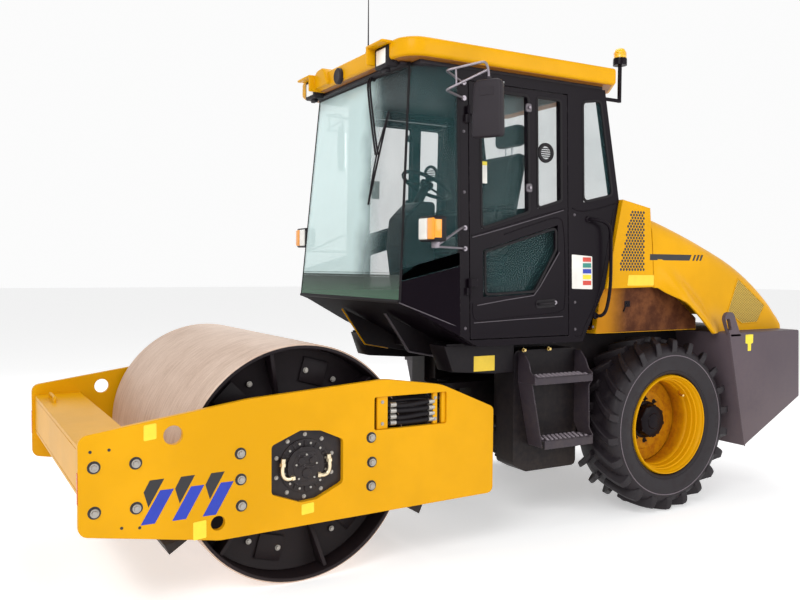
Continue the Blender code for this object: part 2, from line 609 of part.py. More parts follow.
def cab_side(side_name, side, paints):
    wall = in_side(f"cab_side_frame_{side_name}", SIDE_OUTLINE, side, (-CAB_WALL, 0), paints["black"])
    doorway = ((DOOR_Y[0], DOOR_Z[0]), (DOOR_Y[1], DOOR_Z[0]), (DOOR_Y[1], DOOR_Z[1]), (DOOR_Y[0], DOOR_Z[1]))
    cut(wall, in_side(f"doorway_cut_{side_name}", doorway, side, (-0.2, 0.2)),
        in_side(f"rear_side_window_cut_{side_name}", REAR_SIDE_WINDOW, side, (-0.2, 0.2)))
    in_side(f"rear_side_glass_{side_name}", inset_outline(REAR_SIDE_WINDOW, GAP), side,
            (-0.012 - GLASS_T, -0.012), paints["glass"])
    foot, up = hinge_point(side), up_side(side)
    out = Vector((side * cos(TILT), 0, sin(TILT)))
    for number, z in enumerate(HINGE_ZS):
        base = foot + up * (z - CAB_Z)
        pin = rod(f"hinge_pin_{side_name}_{number}", base - up * HINGE_H, base + up * HINGE_H, HINGE_PIN_R, steps=16)
        corner = base - out * (HINGE_OUT + 0.004)
        forward = Vector((0, -0.024, 0))
        across_leaf = out * (HINGE_OUT + 0.004)
        low = -up * (HINGE_H - 0.002)
        loop = [corner, corner + across_leaf, corner + across_leaf + forward, corner + forward]
        leaf = between(f"hinge_leaf_{side_name}_{number}", [p + low for p in loop],
                       [p - up * 0.004 for p in loop], None)
        fuse(wall, leaf, pin)
    return wall


def door(side_name, side, paints):
    edge = RUN_GAP
    y0, y1 = DOOR_Y[0] + edge, DOOR_Y[1] - edge
    z0, z1 = DOOR_Z[0] + edge, DOOR_Z[1] - edge
    panel = in_side(f"door_{side_name}", ((y0, z0), (y1, z0), (y1, z1), (y0, z1)), side, (-CAB_WALL, 0),
                    paints["black"])
    for number, window in enumerate(DOOR_WINDOWS):
        cut(panel, in_side(f"door_window_cut_{side_name}_{number}", window, side, (-0.2, 0.2)))
    foot, up = hinge_point(side), up_side(side)
    out = Vector((side * cos(TILT), 0, sin(TILT)))
    for number, z in enumerate(HINGE_ZS):
        base = foot + up * (z - CAB_Z)
        radius, sunk = HINGE_PIN_R + 0.004, HINGE_OUT + 0.004
        front = [(radius * cos(-pi * k / 8), radius * sin(-pi * k / 8)) for k in range(9)]
        shape = front + [(-radius, 0.010), (-sunk, 0.014), (-sunk, 0.045), (radius, 0.045)]
        ring = [base + out * u + Vector((0, v, 0)) for u, v in shape]
        fuse(panel, between(f"door_ear_{side_name}_{number}", [p + up * 0.001 for p in ring],
                            [p + up * (HINGE_H - 0.002) for p in ring], None))
        cut(panel, rod(f"door_ear_cut_{side_name}_{number}", base - up * HINGE_H, base + up * 2 * HINGE_H,
                       HINGE_PIN_R + PIN_GAP, steps=16))
    pane = ((y0 + 0.05, 1.44), (y1 - 0.03, 1.44), (y1 - 0.03, 2.67), (y0 + 0.05, 2.67))
    in_side(f"door_glass_{side_name}", pane, side, (-CAB_WALL - GAP - GLASS_T, -CAB_WALL - GAP), paints["glass"])


def along_screen(z, x_side, behind=0.0):
    """Point on the windscreen's edge line at height z."""
    share = (z - SCREEN_FOOT[2]) / (SCREEN_HEAD[2] - SCREEN_FOOT[2])
    x = SCREEN_FOOT[0] + share * (SCREEN_HEAD[0] - SCREEN_FOOT[0])
    y = SCREEN_FOOT[1] + share * (SCREEN_HEAD[1] - SCREEN_FOOT[1])
    return Vector((x_side * x, CAB_Y + y + behind, z))


def on_post(z, side):
    """Point on the outer front corner of the front post at height z."""
    return Vector((side * (CAB_X - (z - CAB_Z) * tan(TILT)), CAB_Y + QUARTER_Y - GAP, z))


def cab_front(paints):
    screen_top = ROOF_Z[0] - GAP
    foot = SCREEN_FOOT[2]
    loop = [along_screen(foot, -1), along_screen(foot, 1), along_screen(screen_top, 1), along_screen(screen_top, -1)]
    back = Vector((0, GLASS_T, 0))
    between("windscreen", loop, [p + back for p in loop], paints["glass"])
    sill_front, sill_rear = 1.53, 1.62
    tub = cab_front_slope(foot, paints["black"])
    for side_name, side in SIDES:
        behind = GLASS_T + GAP
        panel = [along_screen(foot, side, behind), on_post(1.215, side), on_post(sill_rear, side),
                 along_screen(sill_front, side, behind)]
        shift = Vector((-side * 0.04, 0, 0))
        fuse(tub, between(f"front_quarter_{side_name}", panel, [p + shift for p in panel], None))
        glass = [along_screen(sill_front + GAP, side, behind), on_post(sill_rear + GAP, side),
                 on_post(CAB_TOP, side), along_screen(CAB_TOP, side, behind)]
        shift = Vector((-side * GLASS_T, 0, 0))
        between(f"quarter_glass_{side_name}", glass, [p + shift for p in glass], paints["glass"])


def cab_front_slope(foot, paint):
    """Sloping front underside of the cab, from the windscreen's foot down to the floor."""
    y0, y1 = GLASS_T + GAP, 0.50
    x0, x1 = SCREEN_FOOT[0] - 0.03, cab_inner(CAB_Z + 0.06)
    rise = 0.045
    lip_y = along_screen(foot + rise, 1, y0).y - CAB_Y
    loops = []
    for front_y, lift in ((y0, 0), (lip_y, rise)):
        loops.append([Vector((x, CAB_Y + y, z + lift)) for x, y, z in
                      ((-x0, front_y, foot), (x0, front_y, foot), (x1, y1 - GAP, CAB_Z + GAP),
                       (-x1, y1 - GAP, CAB_Z + GAP))])
    return between("cab_front_panel", loops[0], loops[1], paint)


def cab_shell(paints):
    floor_top = CAB_Z + CAB_FLOOR_T
    floor = ((0.50, CAB_Z), (1.28, CAB_Z), (1.31, floor_top), (0.50, floor_top))
    across("cab_floor", shifted(floor, CAB_Y), cab_inner, paints["black"])
    wall = 0.04
    rear = ((1.345, floor_top + GAP), (1.50, 1.485), (1.63, 2.06), (1.63 - wall, 2.06), (1.50 - wall, 1.485),
            (1.345 - wall, floor_top + GAP))
    across("cab_rear_panel", shifted(rear, CAB_Y), cab_inner, paints["black"])
    pane = ((1.61, 2.06 + GAP), (1.50, CAB_TOP), (1.50 - GLASS_T, CAB_TOP), (1.61 - GLASS_T, 2.06 + GAP))
    across("rear_window", shifted(pane, CAB_Y), cab_inner, paints["glass"])
    roof(paints["yellow"])


def roof(paint):
    y0, y1 = CAB_Y + ROOF_Y[0], CAB_Y + ROOF_Y[1]
    plan = rounded([(-ROOF_X, y0, 0.14), (ROOF_X, y0, 0.14), (ROOF_X, y1 - 0.16, 0), (ROOF_X - 0.22, y1, 0),
                    (-ROOF_X + 0.22, y1, 0), (-ROOF_X, y1 - 0.16, 0)])
    top = prism("roof", plan, "z", ROOF_Z[0], ROOF_Z[1], paint)
    fuse(top, box("roof_liner", (-CAB_TOP_X, CAB_TOP_X), (CAB_Y + 0.125, CAB_Y + 1.512),
                  (CAB_TOP + GAP, ROOF_Z[0] + 0.01)))
    for side_name, side in SIDES:
        fuse(top, box(f"lamp_housing_{side_name}", sorted((side * 0.41, side * 0.60)), (y0 - 0.06, y0 + 0.02),
                      (ROOF_Z[0] + 0.002, ROOF_Z[1] - 0.002)))


def cab_inside(paints):
    floor = CAB_Z + CAB_FLOOR_T + GAP
    seat_y, seat_z = CAB_Y + 0.95, 1.70
    box("seat_base", (-0.19, 0.19), (seat_y - 0.20, seat_y + 0.18), (floor, seat_z), paints["plastic"])
    cushion = box("seat_cushion", (-0.22, 0.22), (seat_y - 0.25, seat_y + 0.20), (seat_z + GAP, seat_z + 0.11),
                  paints["seat"])
    cushion.modifiers.new("Bevel", "BEVEL").width = 0.03
    back_z = seat_z + 0.11 + GAP
    leaning = ((1.06, back_z), (1.20, 2.42), (1.30, 2.42), (1.17, back_z))
    back = prism("seat_back", shifted(leaning, CAB_Y), "x", -0.22, 0.22, paints["seat"])
    fuse(back, box("head_rest", (-0.13, 0.13), (CAB_Y + 1.24, CAB_Y + 1.34), (2.46, 2.61)),
         box("head_rest_stem", (-0.05, 0.05), (CAB_Y + 1.27, CAB_Y + 1.29), (2.40, 2.48)))
    pod = ((0.36, 1.75), (0.38, 1.93), (0.49, 2.04), (0.60, 2.04), (0.60, 1.31), (0.42, 1.31))
    console = prism("steering_column", shifted(pod, CAB_Y), "x", -0.12, 0.12, paints["plastic"])
    hub, lean = Vector((0, CAB_Y + 0.60, 2.16)), radians(28)
    down = Vector((0, -sin(lean), -cos(lean)))
    fuse(console, box("console_foot", (-0.15, 0.15), (CAB_Y + 0.50 + RUN_GAP, CAB_Y + 0.60), (floor, 1.33)),
         rod("column_tube", hub, hub + down * 0.20, 0.03, steps=16))
    fuse(console, *steering_wheel(hub, lean))


def steering_wheel(hub, lean):
    """Rim, boss and three spokes, square to the column."""
    reach = 0.18
    ring = [(0.012 * cos(2 * pi * k / 8), reach + 0.012 * sin(2 * pi * k / 8)) for k in range(8)]
    pieces = [lathe("wheel_rim", ring, None, (0, 0, 0), "z", 32),
              prism("wheel_boss", circle(0.045, steps=16), "z", -0.02, 0.02)]
    for number in range(3):
        angle = radians(98 + 120 * number)
        pieces.append(rod(f"wheel_spoke_{number}", (0, 0, 0), (reach * cos(angle), reach * sin(angle), 0), 0.008,
                          steps=8))
    for piece in pieces:
        piece.data.transform(Matrix.Rotation(-lean, 4, "X"))
        piece.location = hub
    return pieces


def cab_fittings(paints):
    for side_name, side in SIDES:
        mirror(side_name, side, paints["plastic"])
        head_lamp(side_name, side, paints["plastic"])
    beacon(paints["amber"])
    antenna_foot = ROOF_Z[1] + GAP
    x, y = 0.24, CAB_Y + 0.035
    mast = rod("antenna", (x, y, antenna_foot), (x, y, antenna_foot + 0.45), 0.004, paints["plastic"], 8)
    fuse(mast, rod("antenna_foot", (x, y, antenna_foot), (x, y, antenna_foot + 0.04), 0.018))


def post_foot(name, side, y, z):
    """Small round foot on the front post's outer face, and the point that a tube starts from in it."""
    out = Vector((side * cos(TILT), 0, sin(TILT)))
    on_face = Vector((side * (CAB_X - (z - CAB_Z) * tan(TILT)), CAB_Y + y, z))
    return rod(name, on_face + out * GAP, on_face + out * 0.014, 0.018, steps=16), on_face + out * 0.011


def mirror(side_name, side, paint):
    x, y, z = side * 0.93, CAB_Y + 0.43, 2.496
    head = box(f"mirror_{side_name}", (-0.095, 0.095), (-0.03, 0.03), (-0.16, 0.16), paint, (x, y, z))
    head.data.transform(Matrix.Rotation(side * radians(30), 4, "Z"))
    post_y = QUARTER_Y + POST_W / 2
    high_foot, start = post_foot(f"mirror_foot_high_{side_name}", side, post_y, 2.68)
    low_foot, low = post_foot(f"mirror_foot_low_{side_name}", side, post_y, 2.59)
    neck = Vector((x, y, 2.70))
    elbows = [Vector((side * 0.80, CAB_Y + 0.23, height)) for height in (2.708, 2.60)]
    arms = [tube(f"mirror_arm_{side_name}", [start, elbows[0], neck + Vector((0, -0.02, 0.045)), neck,
                                             (x, y, z + 0.1)], 0.009),
            tube(f"mirror_brace_{side_name}", [low, elbows[1], neck], 0.007), high_foot, low_foot]
    for arm in arms:
        arm.data.transform(Matrix.Translation((-x, -y, -z)))
        arm.location = (x, y, z)
    fuse(head, *arms)


def head_lamp(side_name, side, paint):
    x, y, z = side * 0.869, CAB_Y + 0.106, 1.822
    lamp = box(f"head_lamp_{side_name}", (x - 0.085, x + 0.085), (y - 0.045, y + 0.045), (z - 0.07, z + 0.07), paint)
    for number, height in enumerate((z + 0.02, z - 0.10)):
        foot, start = post_foot(f"lamp_foot_{side_name}_{number}", side, QUARTER_Y + POST_W / 2, height)
        arm = tube(f"lamp_arm_{side_name}_{number}",
                   [start, start + Vector((side * 0.06, -0.06, 0)), (x, y + 0.02, z - 0.01)], 0.009)
        fuse(lamp, foot, arm)


def beacon(paint):
    x, y = CAB_TOP_X - 0.02, CAB_Y + 1.66
    dome = rod("beacon", (x, y, 2.94), (x, y, 3.05), 0.045, paint, 24)
    fuse(dome, rod("beacon_stem", (x, y, 2.70), (x, y, 2.95), 0.014, None, 12),
         tube("beacon_bracket", [(x, y, 2.71), (x, CAB_Y + 1.5256, 2.71)], 0.012))


# ---- engine cover ---------------------------------------------------------------------------------------------

COWL_SIDE = ((-0.362, 2.062), (-0.113, 2.016), (-0.066, 1.492), (-0.492, 1.484))
COWL_TOP_T = 0.02
HOOD_TOP = ((-0.099, 1.985), (0.19, 1.895), (0.47, 1.795), (0.75, 1.68), (0.97, 1.555), (1.15, 1.42),
            (1.235, 1.33), (1.27, 1.25))
HOOD_BOTTOM = 1.183
ARCH_LIP = ((0.40, HOOD_BOTTOM), (0.33, 1.24), (0.24, 1.315), (0.135, 1.39), (0.0, 1.46), (-0.062, 1.498))
HOOD_PIVOT = (-0.092, 1.974)


def cowl(paints):
    side_view = shifted(COWL_SIDE, AXLE_Y)
    for side_name, side in SIDES:
        panel = prism(f"cowl_{side_name}", side_view, "x", *sorted((side * (COWL_X - COWL_WALL), side * COWL_X)),
                      paints["yellow"])
        fuse(panel, *bay_panel(side_name, side))
    reach = COWL_X - COWL_WALL - GAP
    front, rear = COWL_SIDE[:2]
    top = (front, rear, (rear[0], rear[1] - COWL_TOP_T), (front[0], front[1] - COWL_TOP_T))
    plate = prism("cowl_top", shifted(top, AXLE_Y), "x", -reach, reach, paints["yellow"])
    y, z = AXLE_Y + HOOD_PIVOT[0], HOOD_PIVOT[1]
    for side_name, side in SIDES:
        arm = ((y - 0.045, z + 0.033), (y - 0.045, z - 0.011), (y + 0.012, z - 0.011), (y + 0.012, z + 0.011),
               (y - 0.022, z + 0.027))
        fuse(plate, prism(f"cowl_hinge_arm_{side_name}", arm, "x",
                          *sorted((side * (HOOD_PIN_X - 0.03), side * HOOD_PIN_X))),
             prism(f"cowl_hinge_pin_{side_name}", circle(HOOD_PIN_R, (y, z), 16), "x",
                   *sorted((side * (HOOD_PIN_X - 0.01), side * (HOOD_PIN_X + 0.05)))))


def hood(paint):
    """One-piece hood hinged at its front top edge, open below, with a flare over each wheel."""
    top = [(AXLE_Y + p.x, p.y) for p in smooth_curve([Vector(p) for p in HOOD_TOP], 2)]
    lip = shifted(ARCH_LIP, AXLE_Y)
    outline = top + [(AXLE_Y + 1.25, HOOD_BOTTOM)] + lip + [(AXLE_Y - 0.060, 1.52)]
    shell = prism("hood", outline, "x", -HOOD_X, HOOD_X, paint)
    low_top = [(y - HOOD_WALL * 0.35, z - HOOD_WALL * 0.95) for y, z in top]
    inside = ([(low_top[0][0] - 0.2, low_top[0][1] + 0.07)] + low_top[:-1]
              + [(AXLE_Y + 1.25 - HOOD_WALL, 1.25), (AXLE_Y + 1.25 - HOOD_WALL, 0.9), (AXLE_Y - 0.3, 0.9)])
    cut(shell, prism("hood_inside_cut", inside, "x", -HOOD_X + HOOD_WALL, HOOD_X - HOOD_WALL))
    y, z = AXLE_Y + HOOD_PIVOT[0], HOOD_PIVOT[1]
    for side_name, side in SIDES:
        outer = [(p[0] + 0.02, p[1] + 0.025) for p in lip]
        band = lip + outer[::-1]
        fuse(shell, prism(f"flare_{side_name}", band, "x", *sorted((side * (HOOD_X - 0.01), side * FLARE_X))))
        near = HOOD_PIN_X + RUN_GAP
        ends = sorted((side * near, side * (near + 0.04)))
        fuse(shell, prism(f"hood_ear_{side_name}", circle(HOOD_PIN_R + 0.0065, (y, z), 16), "x", *ends))
        cut(shell, prism(f"hood_pin_cut_{side_name}", circle(HOOD_PIN_R + PIN_GAP, (y, z), 16), "x",
                         *sorted((side * (near - 0.01), side * (near + 0.06)))),
            box(f"hood_notch_cut_{side_name}", sorted((side * (HOOD_PIN_X - 0.036), side * near)),
                (y - 0.05, y + 0.03), (z - 0.05, z + 0.05)))
    place_origin(shell, (0, y, z))


def bay_panel(side_name, side):
    """Inner wall and mudguard shelf on one side of the engine."""
    wall = ((-0.53, DECK_Z), (0.41, DECK_Z), (0.41, 1.27), (0.14, 1.47), (-0.03, 1.58), (-0.055, 1.58),
            (-0.055, 1.50), (-0.49, 1.50))
    inner, outer = COWL_X - COWL_WALL - 0.035, COWL_X - COWL_WALL + 0.005
    return (prism(f"bay_wall_{side_name}", shifted(wall, AXLE_Y), "x", *sorted((side * inner, side * outer))),
            box(f"mudguard_{side_name}", sorted((side * RAIL_X, side * (outer - 0.005))),
                (AXLE_Y - 0.53, AXLE_Y + 0.41), (DECK_Z, DECK_Z + DECK_T)))


def main():
    for old in list(bpy.data.objects):
        bpy.data.objects.remove(old)
    paints = make_paints()
    front_frame(paints)
    drum(paints["drum"])
    centre_joint(paints)
    rear_chassis(paints["black"])
    axle(paints["black"])
    wheels(paints)
    counterweight(paints)
    tanks_and_steps(paints)
    engine(paints["grey"])
    for side_name, side in SIDES:
        cab_side(side_name, side, paints)
        door(side_name, side, paints)
    cab_front(paints)
    cab_shell(paints)
    cab_inside(paints)
    cab_fittings(paints)
    cowl(paints)
    hood(paints["yellow"])


main()
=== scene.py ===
"""Looks of a single-drum road roller with a cab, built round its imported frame.

Metres. +X is the machine's left, -Y its front, +Z up, and the floor is z = 0.
"""

from math import cos, pi, radians, sin, tan

import bmesh
import bpy
from mathutils import Matrix, Vector


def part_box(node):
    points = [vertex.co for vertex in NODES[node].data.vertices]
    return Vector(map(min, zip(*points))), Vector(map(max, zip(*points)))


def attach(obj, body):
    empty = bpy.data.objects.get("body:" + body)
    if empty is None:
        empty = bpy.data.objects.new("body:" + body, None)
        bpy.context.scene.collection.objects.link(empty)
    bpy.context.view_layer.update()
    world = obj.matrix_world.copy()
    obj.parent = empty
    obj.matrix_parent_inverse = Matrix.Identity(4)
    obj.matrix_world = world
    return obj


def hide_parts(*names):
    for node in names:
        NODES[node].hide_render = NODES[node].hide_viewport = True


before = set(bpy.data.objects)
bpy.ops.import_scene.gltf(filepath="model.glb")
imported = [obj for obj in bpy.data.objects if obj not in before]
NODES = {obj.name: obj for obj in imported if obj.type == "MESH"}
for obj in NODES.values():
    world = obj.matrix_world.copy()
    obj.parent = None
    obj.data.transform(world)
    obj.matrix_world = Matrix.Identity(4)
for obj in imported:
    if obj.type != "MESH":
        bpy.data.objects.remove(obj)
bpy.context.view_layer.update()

SIDES = (("left", 1), ("right", -1))


def middle(node):
    low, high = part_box(node)
    return (low + high) / 2


DRUM = middle("drum")
DRUM_R = DRUM.z
DRUM_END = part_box("drum")[1].x
AXLE = middle("tyre_left")
PLATE_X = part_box("front_side_plate_left")[1].x
PLATE_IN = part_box("front_side_plate_left")[0].x
CAB_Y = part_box("windscreen")[0].y
CAB_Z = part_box("cab_side_frame_left")[0].z
CAB_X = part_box("cab_side_frame_left")[1].x - 0.016
CAB_LEAN = 0.03105  # how far each cab side leans in, in radians
ROOF_LOW, ROOF_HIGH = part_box("roof")
HOOD_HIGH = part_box("hood")[1]


# ---- finishes -------------------------------------------------------------------------------------------------

class Value:
    """A number in a finish's nodes, for use in plain arithmetic."""

    def __init__(self, finish, socket):
        self.finish, self.socket = finish, socket

    def worked(self, operation, *values):
        return self.finish.node("Math", {"operation": operation}, dict(enumerate(values)))

    def __add__(self, other):
        return self.worked("ADD", self, other)

    def __sub__(self, other):
        return self.worked("SUBTRACT", self, other)

    def __rsub__(self, other):
        return self.worked("SUBTRACT", other, self)

    def __mul__(self, other):
        return self.worked("MULTIPLY", self, other)

    def __truediv__(self, other):
        return self.worked("DIVIDE", self, other)

    def __gt__(self, other):
        return self.worked("GREATER_THAN", self, other)

    def __lt__(self, other):
        return self.worked("LESS_THAN", self, other)

    def __abs__(self):
        return self.worked("ABSOLUTE", self)

    __radd__, __rmul__ = __add__, __mul__


class Finish:
    """One material: a Principled shader and the nodes that feed it."""

    def __init__(self, name, colour, roughness, **fixed):
        self.made = bpy.data.materials.new(name)
        self.made.use_nodes = True
        self.tree = self.made.node_tree
        self.shader = self.tree.nodes["Principled BSDF"]
        self.set("Base Color", (*colour, 1))
        self.set("Roughness", roughness)
        for socket, value in fixed.items():
            self.set(socket.replace("_", " "), value)
        self.where = self.node("TexCoord", output="Object")

    def node(self, kind, settings=None, values=None, output=0):
        added = self.tree.nodes.new("ShaderNode" + kind)
        for key, setting in (settings or {}).items():
            if key == "stops":
                marks = added.color_ramp.elements
                while len(marks) < len(setting):
                    marks.new(0.5)
                for mark, (position, shade) in zip(marks, setting):
                    mark.position, mark.color = position, shade if len(shade) == 4 else (*shade, 1)
            else:
                setattr(added, key, setting)
        for key, value in (values or {}).items():
            if isinstance(value, Value):
                self.tree.links.new(value.socket, added.inputs[key])
            else:
                added.inputs[key].default_value = value
        return Value(self, added.outputs[output])

    def set(self, socket, value):
        if isinstance(value, Value):
            self.tree.links.new(value.socket, self.shader.inputs[socket])
        else:
            self.shader.inputs[socket].default_value = value
        return self

    def along(self, axis, of=None):
        split = self.node("SeparateXYZ", None, {0: of or self.where}, "XYZ"[axis])
        return split

    def stretched(self, scale, turn=(0, 0, 0)):
        return self.node("Mapping", None, {"Vector": self.where, "Scale": scale, "Rotation": turn})

    def grain(self, scale, detail=3.0, rough=0.55, across=None):
        """Noise of 0 to 1."""
        return self.node("TexNoise", None, {"Vector": across or self.where, "Scale": scale, "Detail": detail,
                                             "Roughness": rough}, "Fac")

    def cells(self, scale, feature="F1", across=None, spread=1.0):
        return self.node("TexVoronoi", {"feature": feature},
                         {"Vector": across or self.where, "Scale": scale, "Randomness": spread}, "Distance")

    def between(self, value, low, high):
        """0 below low, 1 above high, smooth between them."""
        return self.node("MapRange", {"interpolation_type": "SMOOTHSTEP"}, {0: value, 1: low, 2: high})

    def blend(self, share, first, second):
        colours = [c if isinstance(c, Value) else (*c, 1) for c in (first, second)]
        return self.node("Mix", {"data_type": "RGBA"}, {0: share, 6: colours[0], 7: colours[1]}, 2)

    def soft_edges(self, radius):
        return self.node("Bevel", {"samples": 4}, {"Radius": radius})

    def bump(self, height, strength, distance, over=None):
        values = {"Height": height, "Strength": strength, "Distance": distance}
        if over:
            values["Normal"] = over
        return self.node("Bump", None, values)

    def edge_wear(self, radius):
        """1 on outer corners and 0 on flats."""
        sharp = self.node("NewGeometry", output="Normal")
        turned_by = self.node("VectorMath", {"operation": "DOT_PRODUCT"}, {0: self.soft_edges(radius), 1: sharp},
                              "Value")
        return self.between(1 - turned_by, 0.03, 0.25)


def sprayed(name, colour, roughness, dust=0.25, dust_colour=(0.33, 0.25, 0.17), wear_and_highlight=0.35, bare_and_highlight=(0.10, 0.09, 0.085),
            edge=0.004, **fixed):
    """Sprayed paint on steel: faint orange peel, a little uneven in tone, dusty low down and scuffed on its edges; on
    the cab black the lighter edges also stand for painted highlights.
    """
    paint = Finish(name, colour, roughness, **fixed)
    patches = paint.grain(1.7, 4)
    fine = paint.grain(26, 5, 0.65)
    tone = paint.blend(paint.between(patches, 0.35, 0.7), [c * 0.93 for c in colour],
                       [min(1, c * 1.06) for c in colour])
    low_down = 1 - paint.between(paint.along(2), 0.15, 1.5)
    settled = paint.between(fine * 0.6 + patches * 0.6 + low_down * 0.25, 0.55,
                            0.95) * (0.35 + 0.65 * low_down) * dust
    tone = paint.blend(settled, tone, dust_colour)
    # lighter edges: scuffing, and on the cab black also painted highlights
    scuffs_and_highlights = paint.edge_wear(edge * 1.6) * paint.between(paint.grain(55, 4, 0.7), 0.5, 0.68) * wear_and_highlight
    tone = paint.blend(scuffs_and_highlights, tone, bare_and_highlight)
    paint.set("Base Color", tone)
    paint.set("Roughness", roughness + settled * 0.45 + scuffs_and_highlights * 0.2 + (fine - 0.5) * 0.06)
    peel = paint.grain(210, 2)
    paint.set("Normal", paint.bump(peel, 0.10, 0.0006, paint.soft_edges(edge)))
    return paint


def make_finishes():
    made = {
        "yellow": sprayed("machine_yellow", (0.735, 0.355, 0.0008), 0.36, dust=0.02, Specular_IOR_Level=0.10,
                          Coat_Weight=0.05,
                          Coat_Roughness=0.15),
        # cab black: stronger, lighter edge scuffing, partly real and partly painted highlights on its edges
        "black": sprayed("cab_black", (0.0072, 0.0046, 0.0075), 0.30, dust=0.008, bare_and_highlight=(0.14, 0.12, 0.13), wear_and_highlight=0.6,
                         Specular_IOR_Level=0.09),
        "chassis": sprayed("chassis_black", (0.0085, 0.0060, 0.0085), 0.5, dust=0.06, bare_and_highlight=(0.10, 0.085, 0.09),
                           Specular_IOR_Level=0.2),
        "grey": sprayed("counterweight_grey", (0.098, 0.074, 0.088), 0.45, dust=0.08, bare_and_highlight=(0.24, 0.20, 0.22),
                        Specular_IOR_Level=0.2),
        "step": sprayed("step_grey", (0.042, 0.032, 0.042), 0.42, dust=0.10, wear_and_highlight=0.9, bare_and_highlight=(0.34, 0.30, 0.33),
                        Specular_IOR_Level=0.3),
        "bay": bay_paint(),
        "rim": rim_paint(),
        "chin": sprayed("chin_black", (0.0075, 0.0050, 0.0080), 0.6, dust=0.02, Specular_IOR_Level=0.02),
        # yellow darkened to brown: painted shade on the roof's underside
        "roof_shade": sprayed("roof_shaded_underside", (0.34, 0.12, 0.008), 0.45, dust=0.1),
    }
    made["drum"] = rolled_drum()
    made["heads"] = sprayed("drum_head_black", (0.0095, 0.0060, 0.0085), 0.48, dust=0.10,
                            dust_colour=(0.10, 0.07, 0.06),
                            Specular_IOR_Level=0.2)
    made["tyre"] = tyre_rubber()
    made["scuffed"] = moulded("scuffed_rubber", (0.16, 0.13, 0.15), 0.5)
    made["glass"] = cab_glass("side_glass", (0.06, 0.17, 0.18), (0.06, 0.17, 0.18), 0.10, 0.10)
    # windscreen: its pale colour and higher alpha are a painted reflection
    made["screen"] = cab_glass("screen_glass", (0.05, 0.12, 0.13), (0.74, 0.93, 0.93), 0.10, 0.60)
    made["arm"] = metal("arm_steel", (0.30, 0.27, 0.30), 0.38)
    made["plastic"] = moulded("grained_plastic", (0.010, 0.0075, 0.010), 0.5, Specular_IOR_Level=0.25)
    # mid grey: as thin lines it is a painted highlight on creases and seams; it is also the plain grey of hinge
    # plates and bolts
    made["highlight"] = sprayed("highlight_grey", (0.10, 0.085, 0.10), 0.35, dust=0.0, wear_and_highlight=0.2)
    made["trim"] = moulded("cab_trim", (0.022, 0.017, 0.022), 0.55, Specular_IOR_Level=0.3)
    made["rubber"] = moulded("seal_rubber", (0.007, 0.005, 0.007), 0.6, Specular_IOR_Level=0.25, grain=900,
                             depth=0.0002)
    made["zinc"] = metal("plated_zinc", (0.42, 0.40, 0.37), 0.42)
    made["chrome"] = metal("hard_chrome", (0.78, 0.78, 0.80), 0.12)
    made["casting"] = sprayed("motor_casting", (0.011, 0.008, 0.011), 0.42, dust=0.06, wear_and_highlight=0.8,
                              bare_and_highlight=(0.28, 0.24, 0.26),
                              Specular_IOR_Level=0.3)
    made["fitting"] = metal("hose_fitting", (0.86, 0.74, 0.52), 0.30)
    made["brass"] = metal("brass_fitting", (0.80, 0.58, 0.22), 0.28)
    made["amber"] = moulded("amber_lens", (0.95, 0.34, 0.01), 0.14, grain=160, depth=0.0010, Coat_Weight=0.5)
    made["beacon"] = moulded("beacon_lens", (0.98, 0.55, 0.01), 0.18, grain=90, depth=0.0010, Coat_Weight=0.5)
    made["lens"] = moulded("clear_lens", (0.86, 0.85, 0.80), 0.12, grain=190, depth=0.0015, Coat_Weight=0.6)
    made["red"] = moulded("red_reflector", (0.62, 0.05, 0.025), 0.25, grain=420, depth=0.0008)
    made["label"] = moulded("yellow_label", (0.87, 0.70, 0.03), 0.45, grain=300, depth=0.0001)
    made["tread"] = sprayed("worn_tread", (0.34, 0.29, 0.33), 0.45, dust=0.1, wear_and_highlight=0.9, bare_and_highlight=(0.55, 0.50, 0.53))
    made["pale_label"] = moulded("pale_yellow_label", (0.90, 0.62, 0.03), 0.4, grain=300, depth=0.0001)
    made["white"] = moulded("white_label", (0.80, 0.78, 0.72), 0.45, grain=300, depth=0.0001)
    # black: printed decals, and painted shade in the cowl's vent openings
    made["black_print_and_shade"] = moulded("black_decal_and_shade", (0.016, 0.015, 0.018), 0.35, grain=300, depth=0.0001)
    made["blue_stripe"] = moulded("blue_decal", (0.008, 0.035, 0.42), 0.35, grain=300, depth=0.0001)
    made["green_stripe"] = moulded("green_decal", (0.02, 0.25, 0.20), 0.4, grain=300, depth=0.0001)
    made["mirror"] = metal("mirror_glass", (0.85, 0.88, 0.88), 0.03)
    made["band"] = screen_band()
    made["grille"] = woven_grille()
    made["seat"] = seat_cloth()
    return made


def bay_paint():
    """Inner wall under the cowl: dulled yellow in front, going to a dark rust brown behind; the darkening is painted
    shade under the hood's overhang, with some dust in it.
    """
    paint = sprayed("bay_shaded_brown", (0.42, 0.15, 0.008), 0.6, dust=0.1, Specular_IOR_Level=0.1)
    # painted shade mask: 0 in front, 1 behind, where the hood overhangs the wall
    shaded_rearward = paint.between(paint.along(1) + paint.grain(4, 4) * 0.12, AXLE.y - 0.40, AXLE.y - 0.18)
    # mottled dark browns: painted shade, with some dust
    brown = paint.blend(paint.between(paint.grain(9, 5, 0.65), 0.35, 0.7), (0.070, 0.022, 0.010),
                        (0.17, 0.060, 0.022))
    paint.set("Base Color", paint.blend(shaded_rearward, (0.50, 0.20, 0.006), brown))
    return paint


